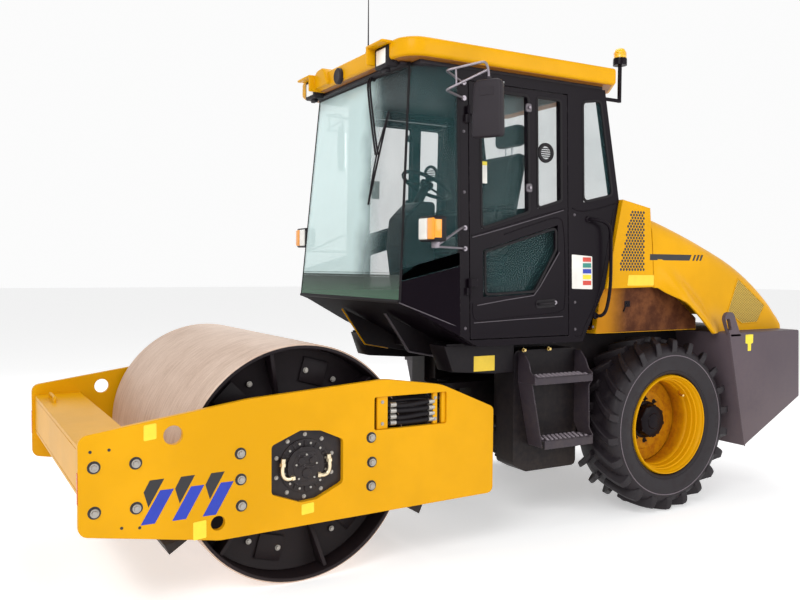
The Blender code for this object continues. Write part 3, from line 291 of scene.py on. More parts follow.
def rim_paint():
    """Machine yellow, going to an orange brown deep in the rim: painted shade in the rim's recess."""
    paint = sprayed("rim_yellow_shaded", (0.735, 0.355, 0.001), 0.4, dust=0.05, Specular_IOR_Level=0.1)
    # painted shade mask: 1 deep in the rim, 0 at its outer face
    depth = paint.between(abs(paint.along(0)) + paint.grain(8, 4) * 0.03, 0.80, 0.66)
    # patchy strength of the painted shade
    shade_mottle = paint.between(paint.grain(22, 5, 0.7), 0.40, 0.66)
    paint.set("Base Color", paint.blend(depth * (0.6 + shade_mottle * 0.4), (0.735, 0.355, 0.001), (0.40, 0.135, 0.006)))
    return paint


def rolled_drum():
    """Bare steel that has been rolled over ground: brown and dusty, with scratches running round it."""
    steel = Finish("rolled_drum_steel", (0.40, 0.29, 0.21), 0.6)
    round_it = steel.grain(9, 6, 0.7, steel.stretched((9, 0.8, 0.8)))
    blotch = steel.grain(3.2, 5, 0.65)
    fine = steel.grain(160, 4, 0.75)
    tone = steel.node("ValToRGB", {"stops": ((0.30, (0.27, 0.165, 0.115)), (0.45, (0.50, 0.345, 0.255)),
                                             (0.60, (0.66, 0.50, 0.40)), (0.8, (0.78, 0.65, 0.55)))},
                      {0: round_it * 0.55 + blotch * 0.3 + fine * 0.28})
    steel.set("Base Color", tone)
    steel.set("Metallic", 0.12)
    steel.set("Roughness", 0.42 + blotch * 0.25 + fine * 0.15)
    steel.set("Normal", steel.bump(fine + round_it * 1.6, 0.35, 0.0015))
    return steel


def tyre_rubber():
    rubber = Finish("tyre_rubber", (0.0115, 0.0078, 0.0110), 0.6, Specular_IOR_Level=0.35)
    dust = rubber.between(rubber.grain(14, 6, 0.7), 0.42, 0.75)
    rubber.set("Base Color", rubber.blend(dust * 0.22, (0.0115, 0.0078, 0.0110), (0.060, 0.045, 0.045)))
    rubber.set("Roughness", 0.5 + dust * 0.3)
    rubber.set("Normal", rubber.bump(rubber.grain(240, 4, 0.7), 0.3, 0.0012))
    return rubber


def cab_glass(name, clear, reflection_colour, thin, thick):
    """Tinted safety glass with a painted reflection of the pale surroundings on it, stronger towards the machine's
    right; thin enough for alpha.
    """
    glass = Finish(name, clear, 0.03, Specular_IOR_Level=0.3, Alpha=thin)
    streaks = glass.between(glass.grain(2, 3, 0.55), 0.35, 0.7)
    # painted reflection mask: 1 towards the machine's right, 0 towards its left
    painted_reflection = glass.between(glass.along(0) + streaks * 0.12, 0.52, 0.10)
    glass.set("Base Color", glass.blend(painted_reflection, clear, reflection_colour))
    glass.set("Alpha", thin + painted_reflection * (thick - thin) + streaks * 0.04)
    glass.set("Roughness", 0.02 + streaks * 0.04)
    glass.made.surface_render_method = "BLENDED"
    return glass


def screen_band():
    """Dark printed border at the windscreen's foot, breaking up into dots at its upper edge; its green tint, greener
    low down, is a painted reflection of grass.
    """
    band = Finish("screen_band", (0.02, 0.09, 0.05), 0.12, Coat_Weight=0.5)
    height = band.along(2)
    dots = band.cells(62, across=band.where, spread=0.0)
    fade = band.between(height, 1.55, 1.60)
    solid = 1 - (dots > (0.62 - fade * 0.6)) * (height > 1.55)
    # green going darker upwards: painted reflection of grass
    band.set("Base Color", band.blend(band.between(height, 1.42, 1.56), (0.055, 0.20, 0.10), (0.015, 0.05, 0.035)))
    band.set("Alpha", solid * 0.93)
    band.made.surface_render_method = "BLENDED"
    return band


def moulded(name, colour, roughness, grain=420, depth=0.0006, **fixed):
    part = Finish(name, colour, roughness, **fixed)
    mottle = part.grain(6, 4, 0.6)
    part.set("Base Color", part.blend(part.between(mottle, 0.3, 0.75), [c * 0.88 for c in colour],
                                      [min(1, c * 1.08) for c in colour]))
    part.set("Roughness", roughness + (mottle - 0.5) * 0.12)
    part.set("Normal", part.bump(part.grain(grain, 2), 0.35, depth, part.soft_edges(0.0015)))
    return part


def metal(name, colour, roughness):
    part = Finish(name, colour, roughness, Metallic=1.0)
    stain = part.between(part.grain(30, 5, 0.7), 0.45, 0.75)
    part.set("Base Color", part.blend(stain * 0.5, colour, [c * 0.62 for c in colour]))
    part.set("Roughness", roughness + stain * 0.2)
    part.set("Normal", part.bump(part.grain(300, 3), 0.15, 0.0003, part.soft_edges(0.001)))
    return part


def woven_grille():
    """Pressed mesh: round openings in a dull gold sheet; the openings are not cut but coloured dark, painted shade of
    the bay behind them.
    """
    mesh = Finish("grille_mesh", (0.46, 0.30, 0.05), 0.5, Metallic=0.3)
    holes = mesh.cells(78, across=mesh.stretched((0.02, 1, 1), (radians(45), 0, 0)), spread=0.0)
    wire = mesh.between(holes, 0.30, 0.42)
    # dark spots in the openings: painted shade
    mesh.set("Base Color", mesh.blend(wire, (0.055, 0.038, 0.012), (0.66, 0.43, 0.06)))
    mesh.set("Roughness", 0.65 - wire * 0.25)
    mesh.set("Normal", mesh.bump(wire, 0.8, 0.003))
    return mesh


def seat_cloth():
    """Dark woven cloth: two fine crossed ribs, a soft nap and some fading."""
    cloth = Finish("seat_cloth", (0.035, 0.042, 0.045), 0.9, Sheen_Weight=0.25, Sheen_Roughness=0.5)
    weft = cloth.node("TexWave", {"bands_direction": "Z"}, {"Vector": cloth.where, "Scale": 95, "Distortion": 0.6},
                      "Fac")
    warp = cloth.node("TexWave", {"bands_direction": "X"}, {"Vector": cloth.where, "Scale": 95, "Distortion": 0.6},
                      "Fac")
    fade = cloth.grain(5, 5, 0.6)
    weave = weft * 0.5 + warp * 0.5
    cloth.set("Base Color", cloth.blend(weave * 0.6 + fade * 0.3, (0.010, 0.012, 0.013), (0.040, 0.050, 0.052)))
    cloth.set("Roughness", 0.82 + fade * 0.15)
    cloth.set("Normal", cloth.bump(weave, 0.5, 0.0015))
    return cloth


# ---- shapes ---------------------------------------------------------------------------------------------------

AXES = {"x": Matrix(), "y": Matrix.Rotation(pi / 2, 4, "Z"), "z": Matrix.Rotation(-pi / 2, 4, "Y")}


def add_to(target, part):
    held = bpy.data.meshes.new("held")
    part.to_mesh(held)
    part.free()
    target.from_mesh(held)
    bpy.data.meshes.remove(held)


def moved(shape, by, turn=None):
    if turn is not None:
        bmesh.ops.transform(shape, matrix=turn.to_4x4(), verts=shape.verts)
    bmesh.ops.translate(shape, vec=by, verts=shape.verts)
    return shape


def set_on(shape, at, out):
    """Stands a shape made on +Z on a point, pointing out."""
    return moved(shape, at, Vector(out).to_track_quat("Z", "Y").to_matrix())


def eased_edges(shape, width, segments=2, over=0.5):
    edges = [e for e in shape.edges if len(e.link_faces) == 2 and e.calc_face_angle(0) > over]
    if width:
        bmesh.ops.bevel(shape, geom=edges, offset=width, offset_type="OFFSET", segments=segments, profile=0.5,
                        affect="EDGES", clamp_overlap=True, material=-1)
    return shape


def block(xs, ys, zs, ease=0.004, segments=2):
    shape = bmesh.new()
    bmesh.ops.create_cube(shape, size=1)
    spans = [sorted(span) for span in (xs, ys, zs)]
    bmesh.ops.scale(shape, vec=[high - low for low, high in spans], verts=shape.verts)
    bmesh.ops.translate(shape, vec=[(low + high) / 2 for low, high in spans], verts=shape.verts)
    return eased_edges(shape, ease, segments)


def slab(outline, axis, low, high, ease=0.002, segments=2):
    """Outline pushed along an axis: 'x' takes (y, z) points, 'y' takes (x, z) and 'z' takes (x, y)."""
    low, high = sorted((low, high))
    place = {"x": lambda a, b: (low, a, b), "y": lambda a, b: (a, low, b), "z": lambda a, b: (a, b, low)}[axis]
    shape = bmesh.new()
    face = shape.faces.new([shape.verts.new(place(a, b)) for a, b in outline])
    pushed = bmesh.ops.extrude_face_region(shape, geom=[face])
    push = Vector([high - low if axis == name else 0 for name in "xyz"])
    bmesh.ops.translate(shape, vec=push, verts=[v for v in pushed["geom"] if isinstance(v, bmesh.types.BMVert)])
    bmesh.ops.recalc_face_normals(shape, faces=shape.faces)
    return eased_edges(shape, ease, segments)


def rim_of(outline, width, axis, low, high, ease=0.0015):
    """Band of a given width just inside an outline, pushed along an axis."""
    shape = slab(outline, axis, low, high, 0)
    along = "xyz".index(axis)
    ends = [f for f in shape.faces if abs(f.normal[along]) > 0.9]
    bmesh.ops.inset_region(shape, faces=ends, thickness=width, use_even_offset=True)
    loops = [set(f.edges) for f in shape.faces if f in ends]
    bmesh.ops.delete(shape, geom=[f for f in shape.faces if f in ends], context="FACES_ONLY")
    bmesh.ops.bridge_loops(shape, edges=list(set().union(*loops)))
    bmesh.ops.recalc_face_normals(shape, faces=shape.faces)
    return eased_edges(shape, ease, 1)


def turned(profile, axis="x", centre=(0, 0, 0), steps=48, closed=False):
    """(along, radius) points turned about an axis through the centre."""
    shape = bmesh.new()
    points = [shape.verts.new((along, 0, radius)) for along, radius in profile]
    edges = [shape.edges.new(pair) for pair in zip(points, points[1:])]
    if closed:
        edges.append(shape.edges.new((points[-1], points[0])))
    bmesh.ops.spin(shape, geom=points + edges, axis=(1, 0, 0), cent=(0, 0, 0), angle=2 * pi, steps=steps,
                   use_merge=True)
    bmesh.ops.remove_doubles(shape, verts=shape.verts, dist=1e-5)
    bmesh.ops.recalc_face_normals(shape, faces=shape.faces)
    bmesh.ops.transform(shape, matrix=AXES[axis], verts=shape.verts)
    return moved(shape, centre)


def pipe(points, radius, steps=12):
    """Round bar through the points."""
    points = [Vector(p) for p in points]
    ways = [(b - a).normalized() for a, b in zip(points, points[1:])]
    headings = [ways[0]] + [(a + b).normalized() for a, b in zip(ways, ways[1:])] + [ways[-1]]
    turn = headings[0].to_track_quat("Z", "Y")
    shape = bmesh.new()
    ring = bmesh.ops.create_circle(shape, segments=steps, radius=radius)["verts"]
    bmesh.ops.transform(shape, matrix=Matrix.Translation(points[0]) @ turn.to_matrix().to_4x4(), verts=ring)
    edges = shape.edges[:]
    for last, here, before, after in zip(points, points[1:], headings, headings[1:]):
        swing = before.rotation_difference(after).to_matrix().to_4x4()
        grown = bmesh.ops.extrude_edge_only(shape, edges=edges)["geom"]
        edges = [g for g in grown if isinstance(g, bmesh.types.BMEdge)]
        ring = [g for g in grown if isinstance(g, bmesh.types.BMVert)]
        bmesh.ops.transform(shape, matrix=Matrix.Translation(here) @ swing @ Matrix.Translation(-last), verts=ring)
    bmesh.ops.holes_fill(shape, edges=[e for e in shape.edges if len(e.link_faces) == 1], sides=0)
    bmesh.ops.recalc_face_normals(shape, faces=shape.faces)
    return shape


def curve_through(points, per_span=5):
    points = [Vector(p) for p in points]
    ends = [2 * points[0] - points[1]] + points + [2 * points[-1] - points[-2]]
    curve = []
    for a, b, c, d in zip(ends, ends[1:], ends[2:], ends[3:]):
        for step in range(per_span):
            t = step / per_span
            curve.append(0.5 * (2 * b + (c - a) * t + (2 * a - 5 * b + 4 * c - d) * t * t
                                + (3 * b - a - 3 * c + d) * t ** 3))
    return curve + [points[-1]]


def rounded(corners, segments=5):
    """Outline with each corner (a, b, radius) turned into an arc."""
    outline = []
    for index, (a, b, radius) in enumerate(corners):
        here = Vector((a, b))
        if not radius:
            outline.append((a, b))
            continue
        before = (Vector(corners[index - 1][:2]) - here).normalized()
        after = (Vector(corners[(index + 1) % len(corners)][:2]) - here).normalized()
        half = before.angle(after) / 2
        centre = here + (before + after).normalized() * radius / sin(half)
        start = here + before * radius / tan(half) - centre
        sweep = start.angle_signed(here + after * radius / tan(half) - centre)
        outline += [tuple(centre + Matrix.Rotation(-sweep * step / segments, 2) @ start)
                    for step in range(segments + 1)]
    return outline


def disc(radius, height, steps=20, top=None):
    """Round boss on +Z."""
    shape = bmesh.new()
    bmesh.ops.create_cone(shape, cap_ends=True, segments=steps, radius1=radius, radius2=top or radius, depth=height)
    bmesh.ops.translate(shape, vec=(0, 0, height / 2), verts=shape.verts)
    return shape


def bolt(at, out, size=0.011, washer=True):
    """Hexagon head, chamfered, on a flange."""
    head = disc(size, size * 0.75, 6, size * 0.97)
    eased_edges(head, size * 0.08, 1)
    if washer:
        add_to(head, disc(size * 1.4, size * 0.22, 20, size * 1.3))
    return set_on(head, at, out)


def piece(name, shapes, finish, body, replaces=(), smooth=38):
    """Joins the shapes into one object that rides on a body."""
    whole = bmesh.new()
    for shape in shapes:
        add_to(whole, shape)
    limit = radians(smooth)
    for face in whole.faces:
        face.smooth = True
    for edge in whole.edges:
        edge.smooth = len(edge.link_faces) == 2 and edge.calc_face_angle(0) < limit
    mesh = bpy.data.meshes.new(name)
    whole.to_mesh(mesh)
    whole.free()
    made = bpy.data.objects.new(name, mesh)
    bpy.context.scene.collection.objects.link(made)
    mesh.materials.append(finish.made)
    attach(made, body)
    if replaces:
        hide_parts(*replaces)
    return made


# ---- front frame and drum -------------------------------------------------------------------------------------

PLATE_BOLTS = ((-1.015, 0.720), (-0.835, 0.720), (-1.014, 0.518), (-0.833, 0.515), (-0.345, 0.712), (-0.343, 0.586),
               (-0.340, 0.458), (0.365, 0.721), (0.369, 0.591), (0.365, 0.467))
PLATE_SCREWS = ((-1.030, 0.790), (-0.950, 0.792), (-0.898, 0.433), (-0.819, 0.423))


def from_drum(side, y, z, out=0.0):
    return Vector((side * (PLATE_X + out), DRUM.y + y, z))


def label_on_plate(side, corners, thick=0.0006):
    outline = rounded([(DRUM.y + y, z, 0.006) for y, z in corners], 3)
    return slab(outline, "x", side * (PLATE_X + 0.0002), side * (PLATE_X + 0.0002 + thick), 0)


def dress_front_frame(finish):
    for name, side in SIDES:
        out = (side, 0, 0)
        rings = [set_on(disc(0.029, 0.0015, 28, 0.028), from_drum(side, y, z), out) for y, z in PLATE_BOLTS]
        rings += [set_on(disc(0.007, 0.001, 16), from_drum(side, y, z), out) for y, z in PLATE_SCREWS]
        piece(f"plate_bolt_rings_{name}", rings, finish["black_print_and_shade"], "front_frame")
        heads = []
        for number, (y, z) in enumerate(PLATE_BOLTS):
            head = disc(0.0205, 0.010, 32, 0.0195)
            add_to(head, moved(eased_edges(disc(0.0135, 0.006, 6, 0.013), 0.001, 1), (0, 0, 0.010),
                               Matrix.Rotation(number * 0.7, 3, "Z")))
            heads.append(set_on(head, from_drum(side, y, z, 0.001), out))
        piece(f"plate_bolts_{name}", heads, finish["zinc"], "front_frame")
        plate_stripes(name, side, finish)
        labels = [label_on_plate(side, ((-0.800, 0.815), (-0.742, 0.822), (-0.742, 0.895), (-0.800, 0.888))),
                  label_on_plate(side, ((-0.028, 0.366), (0.040, 0.372), (0.040, 0.425), (-0.028, 0.420))),
                  label_on_plate(side, ((-0.575, 0.325), (-0.512, 0.330), (-0.512, 0.415), (-0.575, 0.410)))]
        piece(f"plate_labels_{name}", labels, finish["label"], "front_frame")
        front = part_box(f"front_side_plate_{name}")[0].y
        strip = block((side * (PLATE_IN + 0.005), side * (PLATE_X - 0.005)), (front - 0.002, front + 0.004),
                      (0.56, 0.70), 0.001, 1)
        piece(f"front_reflector_{name}", [strip], finish["red"], "front_frame")
        motor_in_opening(name, side, finish)
        hoses_in_window(name, side, finish)
    dress_front_beam(finish)
    dress_rear_beam(finish)


def plate_stripes(name, side, finish):
    """Three slanting blue stripes, each with a dark kite behind its upper end."""
    blue = ((-0.727, 0.583), (-0.664, 0.583), (-0.751, 0.433), (-0.815, 0.433))
    dark = ((-0.773, 0.634), (-0.708, 0.635), (-0.780, 0.510), (-0.801, 0.582))
    for colour, shape in (("blue_stripe", blue), ("black_print_and_shade", dark)):
        bars = [slab([(DRUM.y + y + along, z) for y, z in shape], "x", side * (PLATE_X + 0.0002),
                     side * (PLATE_X + 0.0008), 0)
                for along in (0.0, 0.1425, 0.285)]
        piece(f"{colour}_bars_{name}", bars, finish[colour], "front_frame")


def motor_in_opening(name, side, finish):
    """Drive motor in the side plate's opening: ribbed casting, bolts, two hose elbows and their nuts."""
    base = PLATE_IN
    at = Vector((side * base, DRUM.y, DRUM_R))
    out = (side, 0, 0)
    turn = Matrix.Rotation(0 if side > 0 else pi, 3, "Z")
    casting = []
    flange = turned(((0, 0.135), (0.006, 0.135), (0.008, 0.13), (0.008, 0.10), (0.013, 0.095), (0.013, 0)),
                    steps=64)
    casting.append(moved(flange, at, turn))
    for number in range(12):
        rib = block((0.008, 0.016), (-0.004, 0.004), (0.098, 0.128), 0.0015, 1)
        casting.append(moved(rib, at, turn @ Matrix.Rotation(number * pi / 6, 3, "X")))
    body = slab(rounded([(-0.055, -0.075, 0.02), (0.055, -0.075, 0.02), (0.075, 0.01, 0.02), (0.045, 0.075, 0.02),
                         (-0.045, 0.075, 0.02), (-0.075, 0.01, 0.02)]), "x", 0.010, 0.026, 0.004)
    casting.append(moved(body, at, turn))
    for y, z, r, h in ((-0.028, 0.030, 0.020, 0.008), (0.030, 0.028, 0.017, 0.007), (0.0, -0.034, 0.026, 0.008)):
        casting.append(set_on(disc(r, h, 24, r * 0.9), at + Vector((side * 0.0255, y, z)), out))
    for z in (-0.004, 0.008, 0.052):
        casting.append(moved(block((0.024, 0.029), (-0.05, 0.05), (z, z + 0.005), 0.001, 1), at, turn))
    piece(f"drum_motor_{name}", casting, finish["casting"], "front_frame")
    bolts = []
    for number in range(12):
        angle = number * pi / 6 + pi / 12
        bolts.append(bolt(at + Vector((side * 0.007, 0.116 * cos(angle), 0.116 * sin(angle))), out, 0.007, False))
    for y, z in ((-0.042, -0.058), (0.042, -0.058), (-0.055, 0.012), (0.055, 0.012), (0, 0.060)):
        bolts.append(bolt(at + Vector((side * 0.026, y, z)), out, 0.006, False))
    piece(f"drum_motor_bolts_{name}", bolts, finish["zinc"], "front_frame")
    elbows, nuts = [], []
    for way in (-1, 1):
        route = [Vector((side * d, way * y, z)) + at for d, y, z in
                 ((0.020, 0.072, -0.052), (0.024, 0.096, -0.054), (0.025, 0.118, -0.044), (0.025, 0.128, -0.016),
                  (0.025, 0.126, 0.020))]
        elbows.append(pipe(curve_through(route), 0.0105, 14))
        for spot in (0, 4):
            towards = (route[1] - route[0]) if spot == 0 else (route[4] - route[3])
            nuts.append(set_on(disc(0.0165, 0.016, 6), route[spot] - towards.normalized() * 0.008, towards))
        hose = [route[4], route[4] + Vector((0, way * -0.004, 0.03)),
                route[4] + Vector((side * -0.03, way * -0.02, 0.07)),
                route[4] + Vector((side * -0.055, way * -0.03, 0.10))]
        nuts.append(pipe(curve_through(hose[:2], 2), 0.0125, 12))
    piece(f"motor_elbows_{name}", elbows, finish["fitting"], "front_frame")
    piece(f"motor_nuts_{name}", nuts, finish["fitting"], "front_frame")
    ring = []
    for number in range(10):
        angle = number * 2 * pi / 10 + 0.3
        ring.append(bolt(at + Vector((side * 0.0, 0.158 * cos(angle), 0.158 * sin(angle))), out, 0.008))
    piece(f"carrier_bolts_{name}", ring, finish["zinc"], "front_frame")


def hoses_in_window(name, side, finish):
    """Four hoses side by side behind the side plate's window, on a bracket at each end."""
    x = side * (PLATE_IN + 0.008)
    hoses, sleeves = [], []
    for number, z in enumerate((0.785, 0.817, 0.849, 0.881)):
        sag = 0.006 * (number % 2)
        route = [(x, DRUM.y + 0.47, z), (x, DRUM.y + 0.56, z - 0.004 - sag), (x, DRUM.y + 0.66, z - 0.004),
                 (x, DRUM.y + 0.75, z + 0.002)]
        hoses.append(pipe(curve_through(route, 4), 0.0125, 14))
        for y in (0.485, 0.725):
            sleeves.append(pipe([(x, DRUM.y + y, z - 0.001), (x, DRUM.y + y + 0.035, z - 0.001)], 0.0155, 14))
    piece(f"window_hoses_{name}", hoses, finish["rubber"], "front_frame")
    piece(f"window_hose_sleeves_{name}", sleeves, finish["zinc"], "front_frame")
    bracket = [block((side * (PLATE_IN - 0.002), side * (PLATE_IN + 0.020)), (DRUM.y + low, DRUM.y + high),
                     (0.757, 0.929), 0.002) for low, high in ((0.405, 0.468), (0.752, 0.778), (0.806, 0.832))]
    piece(f"hose_brackets_{name}", bracket, finish["yellow"], "front_frame")
    heads = [bolt((side * (PLATE_IN + 0.020), DRUM.y + y, z), (side, 0, 0), 0.007)
             for y, z in ((0.436, 0.785), (0.436, 0.90), (0.765, 0.785), (0.765, 0.90))]
    piece(f"hose_bracket_bolts_{name}", heads, finish["zinc"], "front_frame")


def dress_front_beam(finish):
    low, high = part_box("front_cross_beam")
    y, z = low.y + 0.07, high.z
    loop = bent([(-0.73, y, z - 0.004), (-0.73, y, z + 0.028), (-0.51, y, z + 0.028), (-0.51, y, z - 0.004)], 0.03)
    eyes = [pipe(loop, 0.009, 12)]
    seam = [block((-high.x + 0.012, high.x - 0.012), (low.y - 0.0015, low.y + 0.001), (z, z + 0.004), 0.0008, 1)
            for z in (0.585, 0.775)]
    piece("front_beam_eyes", eyes + seam, finish["yellow"], "front_frame")
    for name, sign in (("front", -1), ("rear", 1)):
        scraper_low, scraper_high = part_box(f"{name}_scraper")
        y = scraper_low.y + 0.05 if sign < 0 else scraper_high.y - 0.05
        z = scraper_low.z + 0.045
        lean = Vector((0, sign * sin(radians(25)), cos(radians(25))))
        heads = [bolt(Vector((x, y, z)) + lean * 0.018, lean, 0.010) for x in (-0.7, -0.42, -0.14, 0.14, 0.42, 0.7)]
        piece(f"{name}_scraper_bolts", heads, finish["zinc"], "front_frame")


def dress_rear_beam(finish):
    low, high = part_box("rear_cross_beam")
    cleats = []
    for x in (-0.62, -0.28, 0.28, 0.62):
        cleats.append(block((x - 0.03, x + 0.03), (high.y - 0.09, high.y - 0.02), (high.z - 0.002, high.z + 0.018),
                            0.003))
    piece("rear_beam_cleats", cleats, finish["chassis"], "front_frame")
    heads = [bolt((x, high.y - 0.055, high.z + 0.018), (0, 0, 1), 0.009) for x in (-0.62, -0.28, 0.28, 0.62)]
    piece("rear_beam_bolts", heads, finish["zinc"], "front_frame")
    lines = []
    for number in range(3):
        y, z = low.y + 0.035 + 0.034 * number, high.z + 0.013
        lines.append(pipe(curve_through([(-0.78, y + 0.01, z), (-0.5, y, z), (-0.1, y + 0.012, z),
                                         (0.16, y - 0.005, z),
                                         (0.40, y + 0.012, z), (0.47, high.y - 0.01, z + 0.002)], 6), 0.011, 12))
    piece("rear_beam_hoses", lines, finish["rubber"], "front_frame")
    for number in (1, 2):
        low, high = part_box(f"drum_hose_{number}")
        x = (low.x + high.x) / 2
        if number == 1:
            route = ((0.86, 0.840), (0.80, 0.875), (0.66, 0.895), (0.50, 0.893), (0.34, 0.885), (0.22, 0.865),
                     (0.15, 0.83), (0.135, 0.80))
        else:
            route = ((0.92, 0.840), (0.88, 0.93), (0.76, 0.945), (0.60, 0.938), (0.40, 0.935), (0.20, 0.92),
                     (0.06, 0.88), (0.03, 0.80))
        line = curve_through([(x, DRUM.y + y, z) for y, z in route], 6)
        piece(f"drum_hose_skin_{number}", [pipe(line, 0.011, 16)], finish["rubber"], "front_frame",
              (f"drum_hose_{number}",))
        ends = [set_on(disc(0.016, 0.018, 6), line[0], (0, 0, 1)),
                set_on(disc(0.016, 0.018, 6), line[-1], (0, 0, 1))]
        piece(f"drum_hose_nuts_{number}", ends, finish["zinc"], "front_frame")


def make_drum(finish):
    end, skin = DRUM_END, 0.025
    inner = DRUM_R - skin
    shell = turned(((-end + 0.004, DRUM_R - 0.012), (-end, DRUM_R - 0.006), (-end + 0.006, DRUM_R),
                    (end - 0.006, DRUM_R), (end, DRUM_R - 0.006), (end - 0.004, DRUM_R - 0.012)),
                   centre=DRUM, steps=180, closed=True)
    piece("drum_shell", [shell], finish["drum"], "drum", ("drum",))
    parts = []
    for _, side in SIDES:
        rim = ((side * 0.67, inner), (side * (end - 0.004), inner), (side * end, inner + 0.004),
               (side * end, DRUM_R - 0.008), (side * 0.67, DRUM_R - 0.012))
        parts.append(turned(rim, centre=DRUM, steps=144, closed=True))
        dish = turned(((side * 0.680, 0.1515), (side * 0.700, 0.1515), (side * 0.700, 0.24), (side * 0.703, 0.245),
                       (side * 0.703, 0.31), (side * 0.700, 0.315), (side * 0.700, inner - 0.02),
                       (side * 0.712, inner - 0.003), (side * 0.680, inner - 0.003)), centre=DRUM, steps=96,
                      closed=True)
        parts.append(dish)
        for number in range(6):
            gusset = slab([(0.30, side * 0.700), (inner - 0.004, side * 0.700), (inner - 0.004, side * 0.815),
                           (0.42, side * 0.765), (0.30, side * 0.712)], "x", -0.010, 0.010, 0.002)
            stand = Matrix(((0, 0, 1), (1, 0, 0), (0, 1, 0)))
            parts.append(moved(gusset, DRUM, Matrix.Rotation(number * pi / 3 + 0.26, 3, "X") @ stand))
            pad = block((side * 0.700, side * 0.714), (-0.07, 0.07), (0.40, 0.53), 0.003)
            parts.append(moved(pad, DRUM, Matrix.Rotation(number * pi / 3 + 0.26 + pi / 6, 3, "X")))
    piece("drum_heads", parts, finish["heads"], "drum")
    heads = []
    for _, side in SIDES:
        for number in range(24):
            angle = number * pi / 12
            reach = 0.277
            heads.append(bolt(DRUM + Vector((side * 0.703, reach * sin(angle), reach * cos(angle))), (side, 0, 0),
                              0.009))
        for number in range(12):
            angle = number * pi / 6 + 0.26 - 0.08 + 0.16 * (number % 2)
            heads.append(bolt(DRUM + Vector((side * 0.714, 0.465 * sin(angle + 0.35), 0.465 * cos(angle + 0.35))),
                              (side, 0, 0), 0.011))
    piece("drum_head_bolts", heads, finish["zinc"], "drum")


# ---- centre joint and rear frame ------------------------------------------------------------------------------

def make_steering_cylinders(finish):
    for name, side in SIDES:
        base = Vector((side * 0.30, 0.40, 0.60))
        eye = Vector((side * 0.26, -0.24, 0.60))
        way = (eye - base).normalized()
        tube = turned(((0.03, 0), (0.03, 0.040), (0.036, 0.042), (0.35, 0.042), (0.353, 0.039), (0.362, 0.039),
                       (0.365, 0.042), (0.412, 0.042), (0.418, 0.038), (0.419, 0.0235), (0.30, 0.0235)), steps=40)
        lined_up = Vector((1, 0, 0)).rotation_difference(way).to_matrix()
        moved(tube, base, lined_up)
        ring = turned(((-0.040, 0.0195), (-0.040, 0.040), (-0.036, 0.042), (0.036, 0.042), (0.040, 0.040),
                       (0.040, 0.0195)),
                      "z", base, 32, True)
        piece(f"cylinder_barrel_{name}", [tube, ring], finish["chassis"], f"steering_barrel_{name}",
              (f"steering_barrel_{name}",))
        shaft = moved(turned(((0.25, 0), (0.25, 0.0218), (0.598, 0.0218), (0.598, 0)), steps=32), base, lined_up)
        piece(f"cylinder_rod_{name}", [shaft], finish["chrome"], f"steering_rod_{name}",
              (f"steering_rod_{name}",))
        head = turned(((-0.040, 0), (-0.040, 0.040), (-0.036, 0.042), (0.036, 0.042), (0.040, 0.040), (0.040, 0)),
                      "z", eye, 32)
        piece(f"cylinder_eye_{name}", [head], finish["chassis"], f"steering_rod_{name}")


TYRE_HALF = ((0.150, 0.3355), (0.166, 0.345), (0.177, 0.372), (0.183, 0.410), (0.185, 0.445), (0.181, 0.480),
             (0.170, 0.506), (0.148, 0.523), (0.105, 0.533), (0.050, 0.538))


def make_wheels(finish):
    for name, side in SIDES:
        at = Vector((side * AXLE.x, AXLE.y, AXLE.z))
        bead = [(-x, r) for x, r in TYRE_HALF]
        profile = bead + [(0.0, 0.540)] + TYRE_HALF_BACK
        carcass = turned(profile, centre=at, steps=120, closed=True)
        lugs = []
        for number in range(22):
            for half in (1, -1):
                lugs.append(moved(tread_lug(half, number * 2 * pi / 22 + (pi / 22 if half < 0 else 0)), at))
        piece(f"tyre_skin_{name}", [carcass], finish["tyre"], f"wheel_{name}", (f"tyre_{name}",), 60)
        piece(f"tyre_lugs_{name}", lugs, finish["tyre"], f"wheel_{name}", (), 30)
        for ring, look, x, r in (("rib", "tyre", 0.1725, 0.362), ("line", "scuffed", 0.1830, 0.464)):
            rib = turned(((side * x, r - 0.0035), (side * (x + 0.0035), r), (side * x, r + 0.0035)), centre=at,
                         steps=120)
            piece(f"tyre_{ring}_{name}", [rib], finish[look], f"wheel_{name}", (), 60)
        make_rim(name, side, at, finish)


TYRE_HALF_BACK = [(x, r) for x, r in reversed(TYRE_HALF)]


def tread_lug(half, angle):
    """One bar of the tread, from the middle out over the shoulder, its outer end trailing."""
    shape = bmesh.new()
    bmesh.ops.create_cube(shape, size=1)
    long_edges = [e for e in shape.edges if abs(e.verts[0].co.x - e.verts[1].co.x) > 0.5]
    bmesh.ops.subdivide_edges(shape, edges=long_edges, cuts=7, use_grid_fill=True)
    path = ((0.006, 0.533, 0.575), (0.040, 0.533, 0.575), (0.080, 0.530, 0.5745), (0.115, 0.524, 0.5735),
            (0.145, 0.514, 0.571), (0.168, 0.500, 0.566), (0.176, 0.494, 0.552), (0.179, 0.488, 0.535),
            (0.180, 0.482, 0.505))
    for corner in shape.verts:
        step = round((corner.co.x + 0.5) * 8)
        x, root, top = path[step]
        share = step / 8
        on_top = corner.co.z > 0
        width = (0.030 + 0.018 * share) if on_top else (0.052 + 0.012 * share)
        swing = 0.27 * (x / 0.184) ** 0.85
        radius = top if on_top else root
        around = angle + swing + corner.co.y * width / 0.56
        outward = x + (0.009 if on_top and step >= 5 else 0)
        corner.co = Vector((half * outward, -radius * sin(around), radius * cos(around)))
    bmesh.ops.recalc_face_normals(shape, faces=shape.faces)
    return eased_edges(shape, 0.0035, 1, 0.9)


